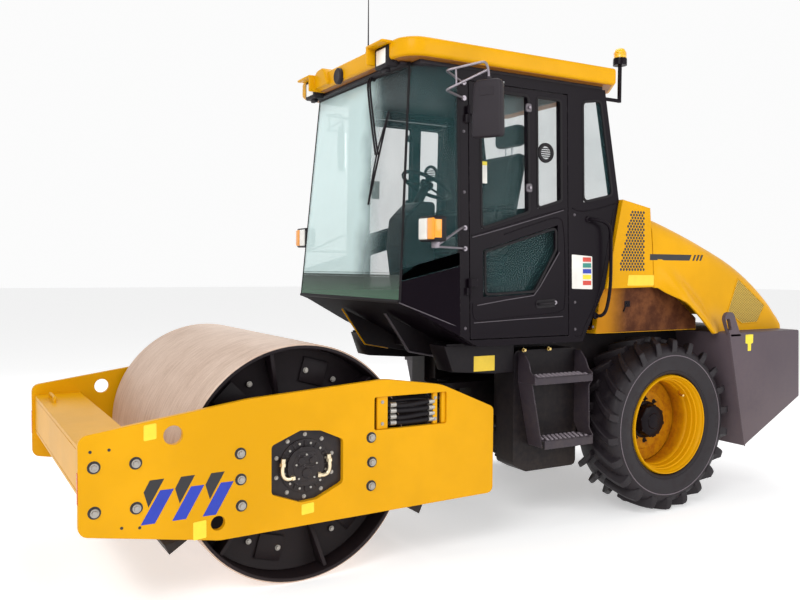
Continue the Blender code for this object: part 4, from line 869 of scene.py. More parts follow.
def make_rim(name, side, at, finish):
    dish = ((-0.155, 0.3345), (-0.150, 0.300), (-0.070, 0.285), (-0.070, 0.255), (-0.068, 0.205), (-0.060, 0.200),
            (-0.060, 0.062), (-0.085, 0.0615), (-0.085, 0.270), (-0.160, 0.318))
    flange = ((-0.150, 0.300), (-0.060, 0.290), (-0.020, 0.283), (0.030, 0.281), (0.050, 0.283), (0.055, 0.289),
              (0.090, 0.291), (0.095, 0.297), (0.122, 0.299), (0.127, 0.306), (0.148, 0.309), (0.156, 0.315),
              (0.163, 0.320), (0.170, 0.319), (0.174, 0.324), (0.170, 0.329), (0.160, 0.331), (0.150, 0.3335),
              (-0.150, 0.3335))
    shapes = [turned([(side * x, r) for x, r in profile], centre=at, steps=96, closed=True) for profile in (dish,
                                                                                                            flange)]
    piece(f"rim_dish_{name}", shapes, finish["rim"], f"wheel_{name}", (f"rim_{name}",), 45)
    face = at.x - side * 0.060
    studs = []
    for number in range(10):
        angle = number * 2 * pi / 10
        spot = Vector((face, at.y + 0.145 * sin(angle), at.z + 0.145 * cos(angle)))
        studs.append(bolt(spot, (side, 0, 0), 0.0125))
        studs.append(set_on(disc(0.006, 0.022, 12), spot, (side, 0, 0)))
    piece(f"wheel_nuts_{name}", studs, finish["chassis"], f"wheel_{name}")
    hub = turned([(side * (x - 0.060), r) for x, r in ((0.0, 0.128), (0.010, 0.126), (0.014, 0.112), (0.060, 0.108),
                                                       (0.074, 0.104), (0.080, 0.095), (0.082, 0.055),
                                                       (0.088, 0.050),
                                                       (0.092, 0.030), (0.092, 0))], centre=at, steps=64)
    caps = [hub]
    for number in range(8):
        angle = number * 2 * pi / 8 + 0.2
        caps.append(set_on(disc(0.017, 0.074, 16, 0.014),
                           Vector((face, at.y + 0.098 * sin(angle), at.z + 0.098 * cos(angle))), (side, 0, 0)))
    piece(f"hub_cap_{name}", caps, finish["black"], f"wheel_{name}")
    slant = Vector((0, sin(radians(47)), cos(radians(47))))
    valve = pipe(curve_through([at + slant * r + Vector((side * x, 0, 0)) for x,
                                r in ((0.05, 0.286), (0.075, 0.262), (0.11, 0.256))],
                               4), 0.008, 12)
    piece(f"tyre_valve_{name}", [valve], finish["brass"], f"wheel_{name}")


def make_steps(finish):
    for name, side in SIDES:
        low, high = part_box(f"step_{name}")
        inner, outer = sorted((abs(low.x), abs(high.x)))
        foot, reach = inner + 0.0005, outer
        plate = rounded([(foot, 1.088, 0.0), (0.675, 1.088, 0.02), (0.725, 1.035, 0.06), (0.755, 0.975, 0.03),
                         (reach - 0.012, 0.955, 0.01), (reach - 0.012, 0.905, 0.008), (0.758, 0.870, 0.03),
                         (0.766, 0.600, 0.03), (reach - 0.002, 0.562, 0.008), (reach - 0.002, 0.505, 0.008),
                         (0.70, 0.502, 0.03), (foot, 0.62, 0.0)])
        rear_plate = [(side * x, z) for x, z in plate]
        upper = rounded([(foot, 1.088, 0.0), (0.675, 1.088, 0.02), (0.725, 1.035, 0.06), (0.745, 0.975, 0.03),
                         (reach - 0.012, 0.952, 0.01), (reach - 0.012, 0.902, 0.008), (foot, 0.902, 0)])
        front, rear = low.y, high.y
        shapes = [slab(rear_plate, "y", rear - 0.008, rear, 0.0015, 1),
                  slab([(side * x, z) for x, z in upper], "y", front, front + 0.008, 0.0015, 1),
                  slab([(front, 0.905), (front + 0.085, 0.503), (front + 0.093, 0.503), (front + 0.008, 0.905)],
                       "x",
                       side * (foot + 0.0005), side * 0.758, 0.0015, 1)]
        treads, teeth = [], []
        for top, depth, edge, start in ((0.95, 0.050, reach - 0.011, front), (0.56, 0.058, reach, front + 0.072)):
            xs = (side * (inner + 0.03), side * edge)
            treads.append(block(xs, (start + 0.004, rear - 0.004), (top - 0.012, top - 0.006), 0.002, 1))
            treads.append(block((side * (edge - 0.006), side * edge), (start + 0.002, rear - 0.002),
                                (top - depth, top - 0.002), 0.002, 1))
            for row in range(4):
                for column in range(13):
                    spot = Vector((side * (inner + 0.05 + row * 0.033), start + 0.032 + column * 0.0345
                                   + (0.017 if row % 2 else 0), top - 0.008))
                    if spot.y < rear - 0.02:
                        teeth.append(set_on(disc(0.012, 0.008, 10, 0.0085), spot, (0, 0, 1)))
        piece(f"step_frame_{name}", shapes + treads, finish["step"], "rear_frame", (f"step_{name}",))
        piece(f"step_teeth_{name}", teeth, finish["tread"], "rear_frame")
        fittings = []
        for y in (0.16, 0.36):
            fittings.append(pipe([(side * 0.60, y, 1.102), (side * 0.655, y, 1.102)], 0.009, 12))
            fittings.append(set_on(disc(0.014, 0.010, 6), (side * 0.628, y, 1.102), (side, 0, 0)))
        piece(f"grease_fittings_{name}", fittings, finish["brass"], "rear_frame")


def make_cradle(finish):
    """What the cab stands on: a dished plate each side of the middle, struts between them and a mount under each corner."""
    outline = [(CAB_Y + y, z) for y, z in ((0.13, 1.33), (0.30, 1.09), (0.48, 1.055), (0.86, 0.99), (0.86, 1.152),
                                           (0.50, 1.152), (0.38, 1.215))]
    edge = [(CAB_Y + y, z) for y, z in ((0.13, 1.33), (0.30, 1.09), (0.48, 1.055), (0.86, 0.99))]
    struts = [slab(outline, "x", side * 0.27, side * 0.29, 0.002, 1) for _, side in SIDES]
    struts += [block((-0.26, 0.26), (CAB_Y + 0.52, CAB_Y + 0.56), (1.08, 1.15), 0.004),
               pipe([(-0.265, CAB_Y + 0.70, 1.085), (0.265, CAB_Y + 0.70, 1.085)], 0.035, 24)]
    piece("cab_cradle", struts, finish["casting"], "rear_frame")
    for name, side in SIDES:
        # thin strips along the plates' front edges: painted highlights, yellow on the right plate and highlight grey
        # on the left
        strip = pipe([(side * 0.30, y, z) for y, z in edge[: 3 if side < 0 else 4]], 0.0065, 10)
        piece(f"cradle_edge_highlight_{name}", [strip], finish["yellow" if side < 0 else "highlight"], "rear_frame")
    mounts, pads, plates = [], [], []
    for _, side in SIDES:
        bracket = [(-0.42, 1.148), (-0.36, 0.99), (-0.05, 0.965), (0.10, 0.965), (0.10, 1.148)]
        mounts.append(slab(bracket, "x", side * 0.45, side * 0.6195, 0.004, 1))
        mounts.append(slab([(y * 0.96, z + 0.01) for y, z in bracket], "x", side * 0.6195, side * 0.6200, 0, 1))
        pads.append(turned(((0, 0), (0, 0.045), (0.02, 0.052), (0.05, 0.040), (0.078, 0.052), (0.098, 0.045),
                            (0.098, 0)), "z",
                           (side * 0.40, -0.30, 1.05), 32))
        plates.append(block((side * 0.6198, side * 0.6212), (-0.205, -0.05), (0.985, 1.078), 0.0005, 1))
    piece("cab_mounts", mounts, finish["chassis"], "rear_frame")
    piece("cab_pads", pads, finish["rubber"], "rear_frame")
    piece("cab_mount_plates", plates, finish["pale_label"], "rear_frame")


def make_counterweight(finish):
    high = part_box("counterweight")[1]
    half = high.x
    front = ((AXLE.y + 0.485, 1.176), (AXLE.y + 0.665, 0.375))
    side_view = [*front, (AXLE.y + 1.27, 0.687), (AXLE.y + 1.25, 1.176)]
    body = slab(side_view, "x", -half, half, 0.010, 3)
    shapes = [body]
    lug = rounded([(AXLE.y + 0.61, 1.15, 0), (AXLE.y + 0.495, 1.15, 0), (AXLE.y + 0.415, 1.32, 0.045),
                   (AXLE.y + 0.525, 1.32, 0.045)], 8)
    for name, side in SIDES:
        shapes.append(lug_with_slot(lug, side, half))
        edge = [slab([(y0, z0), (y0 + 0.012, z0), (y1 + 0.012, z1), (y1, z1)], "x", side * half,
                     side * (half + 0.003), 0.001, 1)
                for (y0, z0), (y1, z1) in ((front[0], front[1]),)]
        shapes += edge
        outline = ((0.655, 1.160), (0.735, 1.160), (0.735, 1.100), (0.715, 1.095), (0.715, 1.045), (0.680, 1.045),
                   (0.680, 1.095), (0.655, 1.100))
        tag = [slab(rounded([(AXLE.y + y, z, 0.004) for y, z in outline], 2), "x", side * (half + 0.0002),
                    side * (half + 0.001), 0)]
        piece(f"weight_label_{name}", tag, finish["label"], "rear_frame")
    piece("counterweight_casting", shapes, finish["grey"], "rear_frame", ("counterweight",))


def lug_with_slot(lug, side, half):
    """Lifting lug with a slanted slot through it."""
    slot = rounded([(AXLE.y + 0.515, 1.195, 0.014), (AXLE.y + 0.475, 1.195, 0.014), (AXLE.y + 0.448, 1.275, 0.014),
                    (AXLE.y + 0.488, 1.275, 0.014)], 6)
    shape = bmesh.new()
    for outline in (lug, slot):
        ring = [shape.verts.new((side * half, y, z)) for y, z in outline]
        for first, second in zip(ring, ring[1:] + ring[:1]):
            shape.edges.new((first, second))
    bmesh.ops.triangle_fill(shape, use_beauty=True, use_dissolve=False, edges=shape.edges)
    pushed = bmesh.ops.extrude_face_region(shape, geom=shape.faces[:])
    bmesh.ops.translate(shape, vec=(-side * 0.03, 0, 0),
                        verts=[v for v in pushed["geom"] if isinstance(v, bmesh.types.BMVert)])
    bmesh.ops.recalc_face_normals(shape, faces=shape.faces)
    return eased_edges(shape, 0.002, 1, 0.9)


# ---- hood and cowl --------------------------------------------------------------------------------------------

HOOD_CREST = ((-0.099, 1.985), (0.19, 1.895), (0.47, 1.795), (0.75, 1.68), (0.97, 1.555), (1.15, 1.42),
              (1.235, 1.33),
              (1.27, 1.25))
ARCH = ((-0.062, 1.498), (0.0, 1.46), (0.135, 1.39), (0.24, 1.315), (0.33, 1.24), (0.40, 1.183))


def height_on(line, y):
    for (y0, z0), (y1, z1) in zip(line, line[1:]):
        if y <= y1:
            return z0 + (z1 - z0) * max(0, y - y0) / (y1 - y0)
    return line[-1][1]


def smooth_step(value, low, high):
    share = min(1, max(0, (value - low) / (high - low)))
    return share * share * (3 - 2 * share)


def make_hood(finish):
    """Hood skin: a crowned spine, round shoulders, and a flare that swells out over each wheel."""
    crest = [(p.x, p.y) for p in curve_through([(y, z, 0) for y, z in HOOD_CREST], 6)]
    arch = [(p.x, p.y) for p in curve_through([(y, z, 0) for y, z in ARCH], 4)]
    rows, columns = 72, 90
    shape = bmesh.new()
    bmesh.ops.create_grid(shape, x_segments=rows, y_segments=columns, size=1)
    half = HOOD_HIGH.x if HOOD_HIGH.x < 0.8 else 0.75
    for corner in shape.verts:
        u, v = (corner.co.x + 1) / 2, corner.co.y
        y = -0.099 + 1.366 * u
        top = height_on(crest, y)
        bottom = height_on(arch, y) if y < 0.40 else 1.183
        side = 1 if v >= 0 else -1
        v = abs(v)
        shoulder = min(0.13, (top - bottom) * 0.8)
        across, drop = half - shoulder, top - bottom - shoulder
        run = across + shoulder * pi / 2 + drop
        walked = v * run
        if walked < across:
            x, z = walked, top
        elif walked < across + shoulder * pi / 2:
            bend = (walked - across) / shoulder
            x, z = across + shoulder * sin(bend), top - shoulder * (1 - cos(bend))
        else:
            x, z = half, top - shoulder - (walked - across - shoulder * pi / 2)
        z += 0.012 * (1 - (x / half) ** 2) * (1 if top > 1.3 else 0) - 0.012
        over = z - bottom
        swell = 0.108 * (1 - smooth_step(over, 0.0, 0.23)) * (1 - smooth_step(y, 0.36, 0.66))
        swell += 0.012 * (1 - smooth_step(over, 0.0, 0.03)) * (1 - smooth_step(y, 0.36, 0.66))
        swell *= smooth_step(y, -0.09, 0.16)
        if x > half - 0.06:
            x += min(swell, 0.110) * smooth_step(x, half - 0.06, half)
        corner.co = Vector((side * x, AXLE.y + y + (1 - u) ** 6 * (1.985 - z) * 0.075, z))
    bmesh.ops.recalc_face_normals(shape, faces=shape.faces)
    if sum(f.normal.z for f in shape.faces) < 0:
        bmesh.ops.reverse_faces(shape, faces=shape.faces)
    skin = piece("hood_skin", [shape], finish["yellow"], "hood", ("hood",), 60)
    wall = skin.modifiers.new("wall", "SOLIDIFY")
    wall.thickness, wall.offset, wall.use_even_offset = 0.016, -1, False
    dress_hood(finish)


def dress_hood(finish):
    for name, side in SIDES:
        outline = [(AXLE.y + y, z) for y, z in ((0.775, 1.555), (1.085, 1.352), (1.0, 1.225), (0.83, 1.218),
                                                (0.67, 1.31))]
        outer = rounded([(y, z, 0.015) for y, z in outline], 4)
        panel = slab(outer, "x", side * 0.7495, side * 0.7515, 0.0005, 1)
        piece(f"hood_grille_{name}", [panel], finish["grille"], "hood")
        frame_ring = rim_of(outer, 0.008, "x", side * 0.749, side * 0.7535)
        piece(f"hood_grille_rim_{name}", [frame_ring], finish["yellow"], "hood")
        bar = slab([(AXLE.y - 0.108, 1.672), (AXLE.y + 0.272, 1.672), (AXLE.y + 0.292, 1.712),
                    (AXLE.y - 0.108, 1.712)],
                   "x", side * 0.7502, side * 0.7508, 0)
        ticks = [slab([(AXLE.y + y, 1.672), (AXLE.y + y + 0.018, 1.672), (AXLE.y + y + 0.038, 1.712),
                       (AXLE.y + y + 0.020, 1.712)], "x", side * 0.7502, side * 0.7508, 0)
                 for y in (0.300, 0.335, 0.370)]
        bar_piece = piece(f"hood_stripe_{name}", [bar] + ticks, finish["black_print_and_shade"], "hood")
        bar_piece.name = f"hood_stripe_{name}"


def make_cowl_trim(finish):
    """Rows of round openings in the cowl's side, its label and the intake cap on top; the openings are black discs on
    the skin, painted shade in place of holes.
    """
    for name, side in SIDES:
        # black discs for the vent openings: painted shade in place of holes
        holes = []
        for row in range(21):
            z = 1.608 + row * 0.0188
            left_end = AXLE.y - 0.385 + (z - 1.608) * 0.26
            right_end = AXLE.y - 0.165 - (z - 1.608) * 0.02
            count = int((right_end - left_end) / 0.0255)
            for column in range(count + 1):
                y = right_end - column * 0.0255 - (0.01275 if row % 2 else 0)
                if y > left_end:
                    holes.append(set_on(disc(0.0092, 0.0005, 12), (side * 0.7502, y, z), (side, 0, 0)))
        piece(f"cowl_vent_shade_discs_{name}", holes, finish["black_print_and_shade"], "rear_frame")
        label = slab(rounded([(AXLE.y - 0.31, 1.502, 0.006), (AXLE.y - 0.068, 1.502, 0.006),
                              (AXLE.y - 0.068, 1.572, 0.006),
                              (AXLE.y - 0.30, 1.572, 0.006)], 3), "x", side * 0.7502, side * 0.7508, 0)
        wall = [(AXLE.y + y, z) for y, z in ((-0.527, 1.194), (0.406, 1.194), (0.406, 1.272), (0.142, 1.462),
                                             (0.10, 1.490), (-0.49, 1.490))]
        skin = slab(wall, "x", side * 0.6953, side * 0.6965, 0)
        piece(f"bay_wall_skin_{name}", [skin], finish["bay"], "rear_frame")
        piece(f"cowl_label_{name}", [label], finish["pale_label"], "rear_frame")
        latch = [block((side * 0.689, side * 0.70), (AXLE.y - 0.28, AXLE.y - 0.23), (1.36, 1.40), 0.003),
                 pipe([(side * 0.70, AXLE.y - 0.26, 1.39), (side * 0.70, AXLE.y - 0.29, 1.33)], 0.005, 10)]
        piece(f"bay_latch_{name}", latch, finish["black"], "rear_frame")
    cap = turned(((0, 0), (0, 0.05), (0.022, 0.05), (0.026, 0.058), (0.05, 0.058), (0.056, 0.05), (0.056, 0)), "z",
                 (0.45, AXLE.y - 0.25, 2.035), 40)
    piece("intake_cap", [cap], finish["plastic"], "rear_frame")


# ---- cab ------------------------------------------------------------------------------------------------------

def side_frame(side):
    """Matrix from a cab side's own plane, x outwards, y along and z up the wall, to the frame."""
    return Matrix.Translation((side * CAB_X, 0, CAB_Z)) @ Matrix.Rotation(-side * CAB_LEAN, 4, "Y")


def on_side(side, y, z, out=0.0):
    return side_frame(side) @ Vector((side * out, CAB_Y + y, (z - CAB_Z) / cos(CAB_LEAN)))


def placed_on_side(shape, side):
    bmesh.ops.transform(shape, matrix=side_frame(side), verts=shape.verts)
    return shape


def in_wall(points):
    return [(CAB_Y + y, (z - CAB_Z) / cos(CAB_LEAN)) for y, z in points]


def cab_side_slab(side, points, low, high, ease=0.001, corner=0.0):
    outline = in_wall(points)
    if corner:
        outline = rounded([(y, z, corner) for y, z in outline], 4)
    return placed_on_side(slab(outline, "x", side * low, side * high, ease, 1), side)


def cab_side_seal(side, points, width, low, high, corner=0.03):
    outline = rounded([(y, z, corner) for y, z in in_wall(points)], 5)
    return placed_on_side(rim_of(outline, width, "x", side * low, side * high), side)


DOOR_PANES = (
    ((0.535, 1.84), (0.89, 1.955), (0.89, 2.655), (0.535, 2.655)),
    ((0.955, 1.975), (1.145, 2.035), (1.145, 2.655), (0.955, 2.655)),
    ((0.56, 1.455), (0.925, 1.47), (1.10, 1.72), (1.10, 1.865), (0.56, 1.705)),
)
REAR_PANE = ((1.325, 2.03), (1.575, 2.09), (1.475, 2.69), (1.325, 2.665))


def grown(points, by):
    """Points moved away from their middle."""
    middle_y = sum(p[0] for p in points) / len(points)
    middle_z = sum(p[1] for p in points) / len(points)
    return [(y + (by if y > middle_y else -by), z + (by if z > middle_z else -by)) for y, z in points]


def dress_cab_sides(finish):
    for name, side in SIDES:
        door = f"door_{name}"
        seals = [cab_side_seal(side, grown(pane, 0.008), 0.016, -0.006, 0.004) for pane in DOOR_PANES]
        piece(f"door_seals_{name}", seals, finish["rubber"], door)
        piece(f"rear_pane_seal_{name}", [cab_side_seal(side, grown(REAR_PANE, 0.008), 0.016, -0.006, 0.004, 0.04)],
              finish["rubber"], "rear_frame")
        creases = []
        for line in (((0.462, 1.800), (0.50, 1.806), (0.70, 1.860), (1.00, 1.942), (1.17, 1.982)),
                     ((0.470, 1.405), (0.47, 1.345), (0.52, 1.302), (0.80, 1.318), (1.12, 1.342), (1.165, 1.40),
                      (1.172, 1.60), (1.160, 1.86), (1.11, 1.925), (0.90, 1.872), (0.70, 1.812))):
            route = [on_side(side, y, z, 0.0005) for y, z in line]
            creases.append(pipe(curve_through(route, 5), 0.0038, 10))
        piece(f"door_creases_{name}", creases, finish["black"], door)
        # thin grey lines along the door's belt and seams: painted highlights, not scuffing
        worn = []
        for line, radius in ((((0.50, 1.392), (0.70, 1.420), (0.92, 1.446), (0.97, 1.50), (1.125, 1.712)), 0.0028),
                             (((0.468, 1.789), (0.70, 1.849), (1.00, 1.930), (1.16, 1.975)), 0.0030),
                             (((0.475, 1.290), (0.80, 1.303), (1.150, 1.313)), 0.0026)):
            worn.append(pipe([on_side(side, y, z, 0.0012) for y, z in line], radius, 8))
        piece(f"door_highlight_lines_{name}", worn, finish["highlight"], door)
        handle(name, side, door, finish)
        vent(name, side, door, finish)
        hinges = [cab_side_slab(side, ((y - 0.022, z - 0.026), (y + 0.022, z - 0.026), (y + 0.022, z + 0.026),
                                       (y - 0.022, z + 0.026)), 0.001, 0.012, 0.002, 0.014)
                  for y, z in ((0.885, 2.582), (0.885, 2.098))]
        piece(f"pane_hinges_{name}", hinges, finish["highlight"], door)
        knobs = [set_on(disc(0.010, 0.012, 20, 0.008), on_side(side, 0.885, z, 0.012),
                        (side, 0, 0)) for z in (2.582, 2.098)]
        piece(f"pane_hinge_knobs_{name}", knobs, finish["arm"], door)
        tag = cab_side_slab(side, ((0.545, 2.115), (0.610, 2.115), (0.610, 2.245), (0.545, 2.245)), -0.0445,
                            -0.0435)
        piece(f"pane_tag_{name}", [tag], finish["white"], door)
        tag = cab_side_slab(side, ((0.545, 2.222), (0.610, 2.222), (0.610, 2.245), (0.545, 2.245)), -0.0434,
                            -0.0430)
        piece(f"pane_tag_head_{name}", [tag], finish["label"], door)
        rear_quarter(name, side, finish)


def handle(name, side, door, finish):
    cup = cab_side_slab(side, ((0.935, 1.365), (1.095, 1.375), (1.095, 1.425), (0.935, 1.415)), 0.0005, 0.004,
                        0.001, 0.02)
    grip = [on_side(side, y, z, out) for y, z, out in
            ((0.950, 1.392, 0.004), (0.960, 1.394, 0.026), (1.02, 1.398, 0.030), (1.06, 1.400, 0.028),
             (1.065, 1.400, 0.004))]
    piece(f"door_handle_{name}", [cup, pipe(curve_through(grip, 4), 0.008, 12)], finish["plastic"], door)
    lock = set_on(disc(0.013, 0.006, 24, 0.012), on_side(side, 1.085, 1.40, 0.004), (side, 0, 0))
    piece(f"door_lock_{name}", [lock], finish["arm"], door)


def vent(name, side, door, finish):
    """Round air vent in the door's narrow pane."""
    at = on_side(side, 1.055, 2.33, -0.044)
    ring = turned(((0, 0.040), (0, 0.062), (0.010, 0.060), (0.012, 0.050), (0.008, 0.040)), "x", (0, 0, 0), 40,
                  True)
    shapes = [ring]
    for z in (-0.026, -0.013, 0, 0.013, 0.026):
        wide = (0.043 ** 2 - z ** 2) ** 0.5
        shapes.append(block((0.001, 0.007), (-wide, wide), (z - 0.003, z + 0.003), 0.001, 1))
    turn = Matrix.Rotation(0 if side > 0 else pi, 3, "Z")
    piece(f"pane_vent_{name}", [moved(shape, at, turn) for shape in shapes], finish["plastic"], door)


def rear_quarter(name, side, finish):
    """Rear lower quarter of the cab side: grab rail, blank plate with colour bars, bolts and a crease."""
    route = [on_side(side, y, z, out) for y, z, out in
             ((1.362, 1.925, 0.002), (1.385, 1.922, 0.040), (1.46, 1.905, 0.050), (1.502, 1.86, 0.052),
              (1.508, 1.72, 0.052), (1.500, 1.50, 0.052), (1.470, 1.36, 0.050), (1.440, 1.315, 0.040),
              (1.420, 1.31, 0.002))]
    feet = [set_on(disc(0.022, 0.008, 24, 0.019), on_side(side, y, z, 0.0), (side, 0, 0)) for y,
            z in ((1.362, 1.925), (1.420, 1.31))]
    piece(f"grab_rail_{name}", [pipe(curve_through(route, 5), 0.011, 14)] + feet, finish["black"], "rear_frame")
    corners = ((1.225, 1.485), (1.395, 1.480), (1.395, 1.690), (1.225, 1.700))
    piece(f"service_plate_{name}", [cab_side_slab(side, corners, 0.0005, 0.002, 0.0005, 0.006)], finish["white"],
          "rear_frame")
    for colour, low in (("red", 1.655), ("green_stripe", 1.618), ("blue_stripe", 1.581), ("label", 1.544),
                        ("red", 1.507)):
        bar = cab_side_slab(side, ((1.315, low), (1.385, low), (1.385, low + 0.028), (1.315, low + 0.028)), 0.0021,
                            0.0028, 0)
        piece(f"service_bar_{name}_{round(low * 1000)}", [bar], finish[colour], "rear_frame")
    heads = [bolt(on_side(side, y, z, 0.0), (side, 0, 0), 0.007) for y, z in
             ((1.25, 1.23), (1.25, 1.40), (1.25, 1.95), (1.40, 1.24), (0.415, 1.26), (0.415, 1.72), (0.415, 2.05),
              (0.415, 2.40))]
    piece(f"side_bolts_{name}", heads, finish["highlight"], "rear_frame")
    crease = [on_side(side, y, z, 0.0005) for y, z in ((1.235, 1.99), (1.30, 1.975), (1.42, 1.99), (1.60, 2.035))]
    belt = [on_side(side, y, z, 0.0005) for y, z in ((1.255, 1.19), (1.30, 1.185), (1.34, 1.26), (1.46, 1.48),
                                                     (1.585, 2.0))]
    piece(f"quarter_creases_{name}", [pipe(curve_through(crease, 5), 0.004, 10),
                                      pipe(curve_through(belt, 5), 0.004, 10)],
          finish["black"], "rear_frame")


def screen_edge(z, side, behind=0.0):
    share = (z - 1.413) / 1.35
    return Vector((side * (0.695 - share * 0.085), CAB_Y + share * 0.103 + behind, z))


def post_edge(z, side, out=0.0):
    return Vector((side * (CAB_X - (z - CAB_Z) * tan(CAB_LEAN) + out), CAB_Y + 0.38, z))


def dress_cab_front(finish):
    seals = []
    for _, side in SIDES:
        seals.append(pipe([screen_edge(z, side, 0.003) + Vector((side * 0.002, 0, 0)) for z in (1.42, 2.0, 2.775)],
                          0.0075, 10))
        seals.append(pipe([post_edge(z, side, -0.006) + Vector((0, -0.004, 0)) for z in (1.62, 2.2, 2.755)], 0.009,
                          10))
    seals.append(pipe([screen_edge(2.765, -1), screen_edge(2.765, 1)], 0.011, 10))
    seals.append(pipe([screen_edge(1.418, -1), screen_edge(1.418, 1)], 0.011, 10))
    piece("screen_seals", seals, finish["rubber"], "rear_frame")
    # grey lines along the front panel's crease: painted highlights
    highlight_lines = []
    for _, side in SIDES:
        foot, post = Vector((side * 0.697, CAB_Y - 0.0005, 1.413)), Vector((side * 0.7415, CAB_Y + 0.372, 1.268))
        highlight_lines.append(pipe([foot, foot.lerp(post, 0.5) + Vector((side * 0.001, 0, 0.0)), post], 0.0035, 8))
    piece("front_panel_highlight_lines", highlight_lines, finish["highlight"], "rear_frame")
    band = bmesh.new()
    corners = [screen_edge(z, side, -0.0012) for z, side in ((1.42, 1), (1.62, 1), (1.62, -1), (1.42, -1))]
    band.faces.new([band.verts.new(p) for p in corners])
    bmesh.ops.solidify(band, geom=band.faces[:], thickness=0.0008)
    piece("screen_border", [band], finish["band"], "rear_frame")
    border = []
    for _, side in SIDES:
        low = screen_edge(1.535, side, 0.0063), Vector((side * 0.7375, CAB_Y + 0.377, 1.625))
        high = screen_edge(1.60, side, 0.0063), Vector((side * 0.7355, CAB_Y + 0.377, 1.70))
        flap = bmesh.new()
        flap.faces.new([flap.verts.new(p + Vector((side * 0.0015, 0, 0))) for p in (low[0], low[1], high[1],
                                                                                    high[0])])
        bmesh.ops.solidify(flap, geom=flap.faces[:], thickness=0.0006)
        border.append(flap)
    piece("quarter_borders", border, finish["black_print_and_shade"], "rear_frame")
    wiper(finish)


def wiper(finish):
    """Two parallel arms from the roof's front edge, carrying one long blade."""
    front = -0.016
    arms = []
    for shift in (0.0, 0.028):
        route = [screen_edge(z, 0, front - lift) + Vector((x + shift, 0, 0)) for z, x, lift in
                 ((2.765, 0.19, 0.012), (2.70, 0.205, 0.030), (2.45, 0.285, 0.024), (2.28, 0.335, 0.012))]
        arms.append(pipe(curve_through(route, 4), 0.0065, 10))
    arms.append(set_on(disc(0.02, 0.03, 20, 0.017), screen_edge(2.765, 0, -0.002) + Vector((0.20, 0, 0)),
                       (0, -1, 0)))
    blade = [screen_edge(z, 0, front + 0.006) + Vector((x, 0, 0)) for z,
             x in ((2.53, 0.43), (2.28, 0.345), (1.99, 0.25))]
    arms.append(pipe(blade, 0.006, 8))
    spine = [p + Vector((0, -0.010, 0)) for p in blade]
    arms.append(pipe(curve_through([blade[0], spine[1] + Vector((0, -0.006, 0)), blade[2]], 4), 0.005, 8))
    piece("screen_wiper", arms, finish["plastic"], "rear_frame")


def make_roof(finish):
    """Roof moulding with soft edges and a lamp housing at each front corner, a brown underside that is painted shade,
    and a darker liner under it.
    """
    low, high = ROOF_LOW, ROOF_HIGH
    front, base = CAB_Y - 0.01, 2.785
    plan = rounded([(low.x, front, 0.14), (high.x, front, 0.14), (high.x, high.y - 0.16, 0.02),
                    (high.x - 0.22, high.y, 0.02), (low.x + 0.22, high.y, 0.02), (low.x, high.y - 0.16, 0.02)], 10)
    shell = slab(plan, "z", base, high.z, 0.026, 4)
    middle_y = front + 0.85
    panel = slab([(x * 0.86, middle_y + (y - middle_y) * 0.84) for x, y in plan], "z", high.z - 0.01,
                 high.z + 0.006, 0.004, 2)
    shapes = [shell, panel]
    for _, side in SIDES:
        shapes.append(block((side * 0.405, side * 0.608), (front - 0.062, front + 0.10),
                            (base + 0.086, high.z - 0.002), 0.012, 3))
        shapes.append(block((side * 0.405, side * 0.423), (front - 0.060, front + 0.06),
                            (base - 0.006, high.z - 0.006), 0.008, 3))
    hump = slab(rounded([(-0.43, base + 0.01, 0.01), (-0.40, 2.905, 0.06), (-0.27, 2.915, 0.06),
                         (-0.20, base + 0.01, 0.01)], 8),
                "y", front - 0.022, front + 0.14, 0.012, 3)
    shapes.append(hump)
    piece("roof_moulding", shapes, finish["yellow"], "rear_frame", ("roof",))
    # brown sheet beneath the roof's edge: painted shade
    under = slab([(x * 0.975, middle_y + (y - middle_y) * 0.975) for x, y in plan], "z", base - 0.003, base + 0.004,
                 0.001, 1)
    piece("roof_shaded_underside", [under], finish["roof_shade"], "rear_frame")
    liner = block((-0.69, 0.69), (CAB_Y + 0.13, CAB_Y + 1.505), (2.7605, base + 0.004), 0.006)
    gutter = block((-0.60, 0.60), (CAB_Y + 0.055, CAB_Y + 0.125), (2.762, base), 0.008)
    piece("roof_liner", [liner, gutter], finish["trim"], "rear_frame")
    bodies, lenses = [], []
    for _, side in SIDES:
        x, y = side * 0.5045, front - 0.012
        bodies.append(block((x - 0.078, x + 0.078), (y, y + 0.075), (2.748, 2.872), 0.012, 3))
        bodies.append(block((x - 0.03, x + 0.03), (y + 0.02, y + 0.05), (2.728, 2.752), 0.006))
        bodies.append(set_on(disc(0.016, 0.012, 16), (x + 0.078, y + 0.045, 2.79), (1, 0, 0)))
        lenses.append(block((x - 0.056, x + 0.056), (y - 0.003, y + 0.01), (2.768, 2.856), 0.008, 3))
    piece("work_lamp_bodies", bodies, finish["plastic"], "rear_frame")
    piece("work_lamp_lenses", lenses, finish["lens"], "rear_frame")
    horn = turned(((-0.022, 0), (-0.022, 0.036), (-0.024, 0.042), (-0.018, 0.050), (0.004, 0.050), (0.004, 0)), "y",
                  (-0.060, front, 2.815), 36)
    piece("roof_horn", [horn], finish["trim"], "rear_frame")


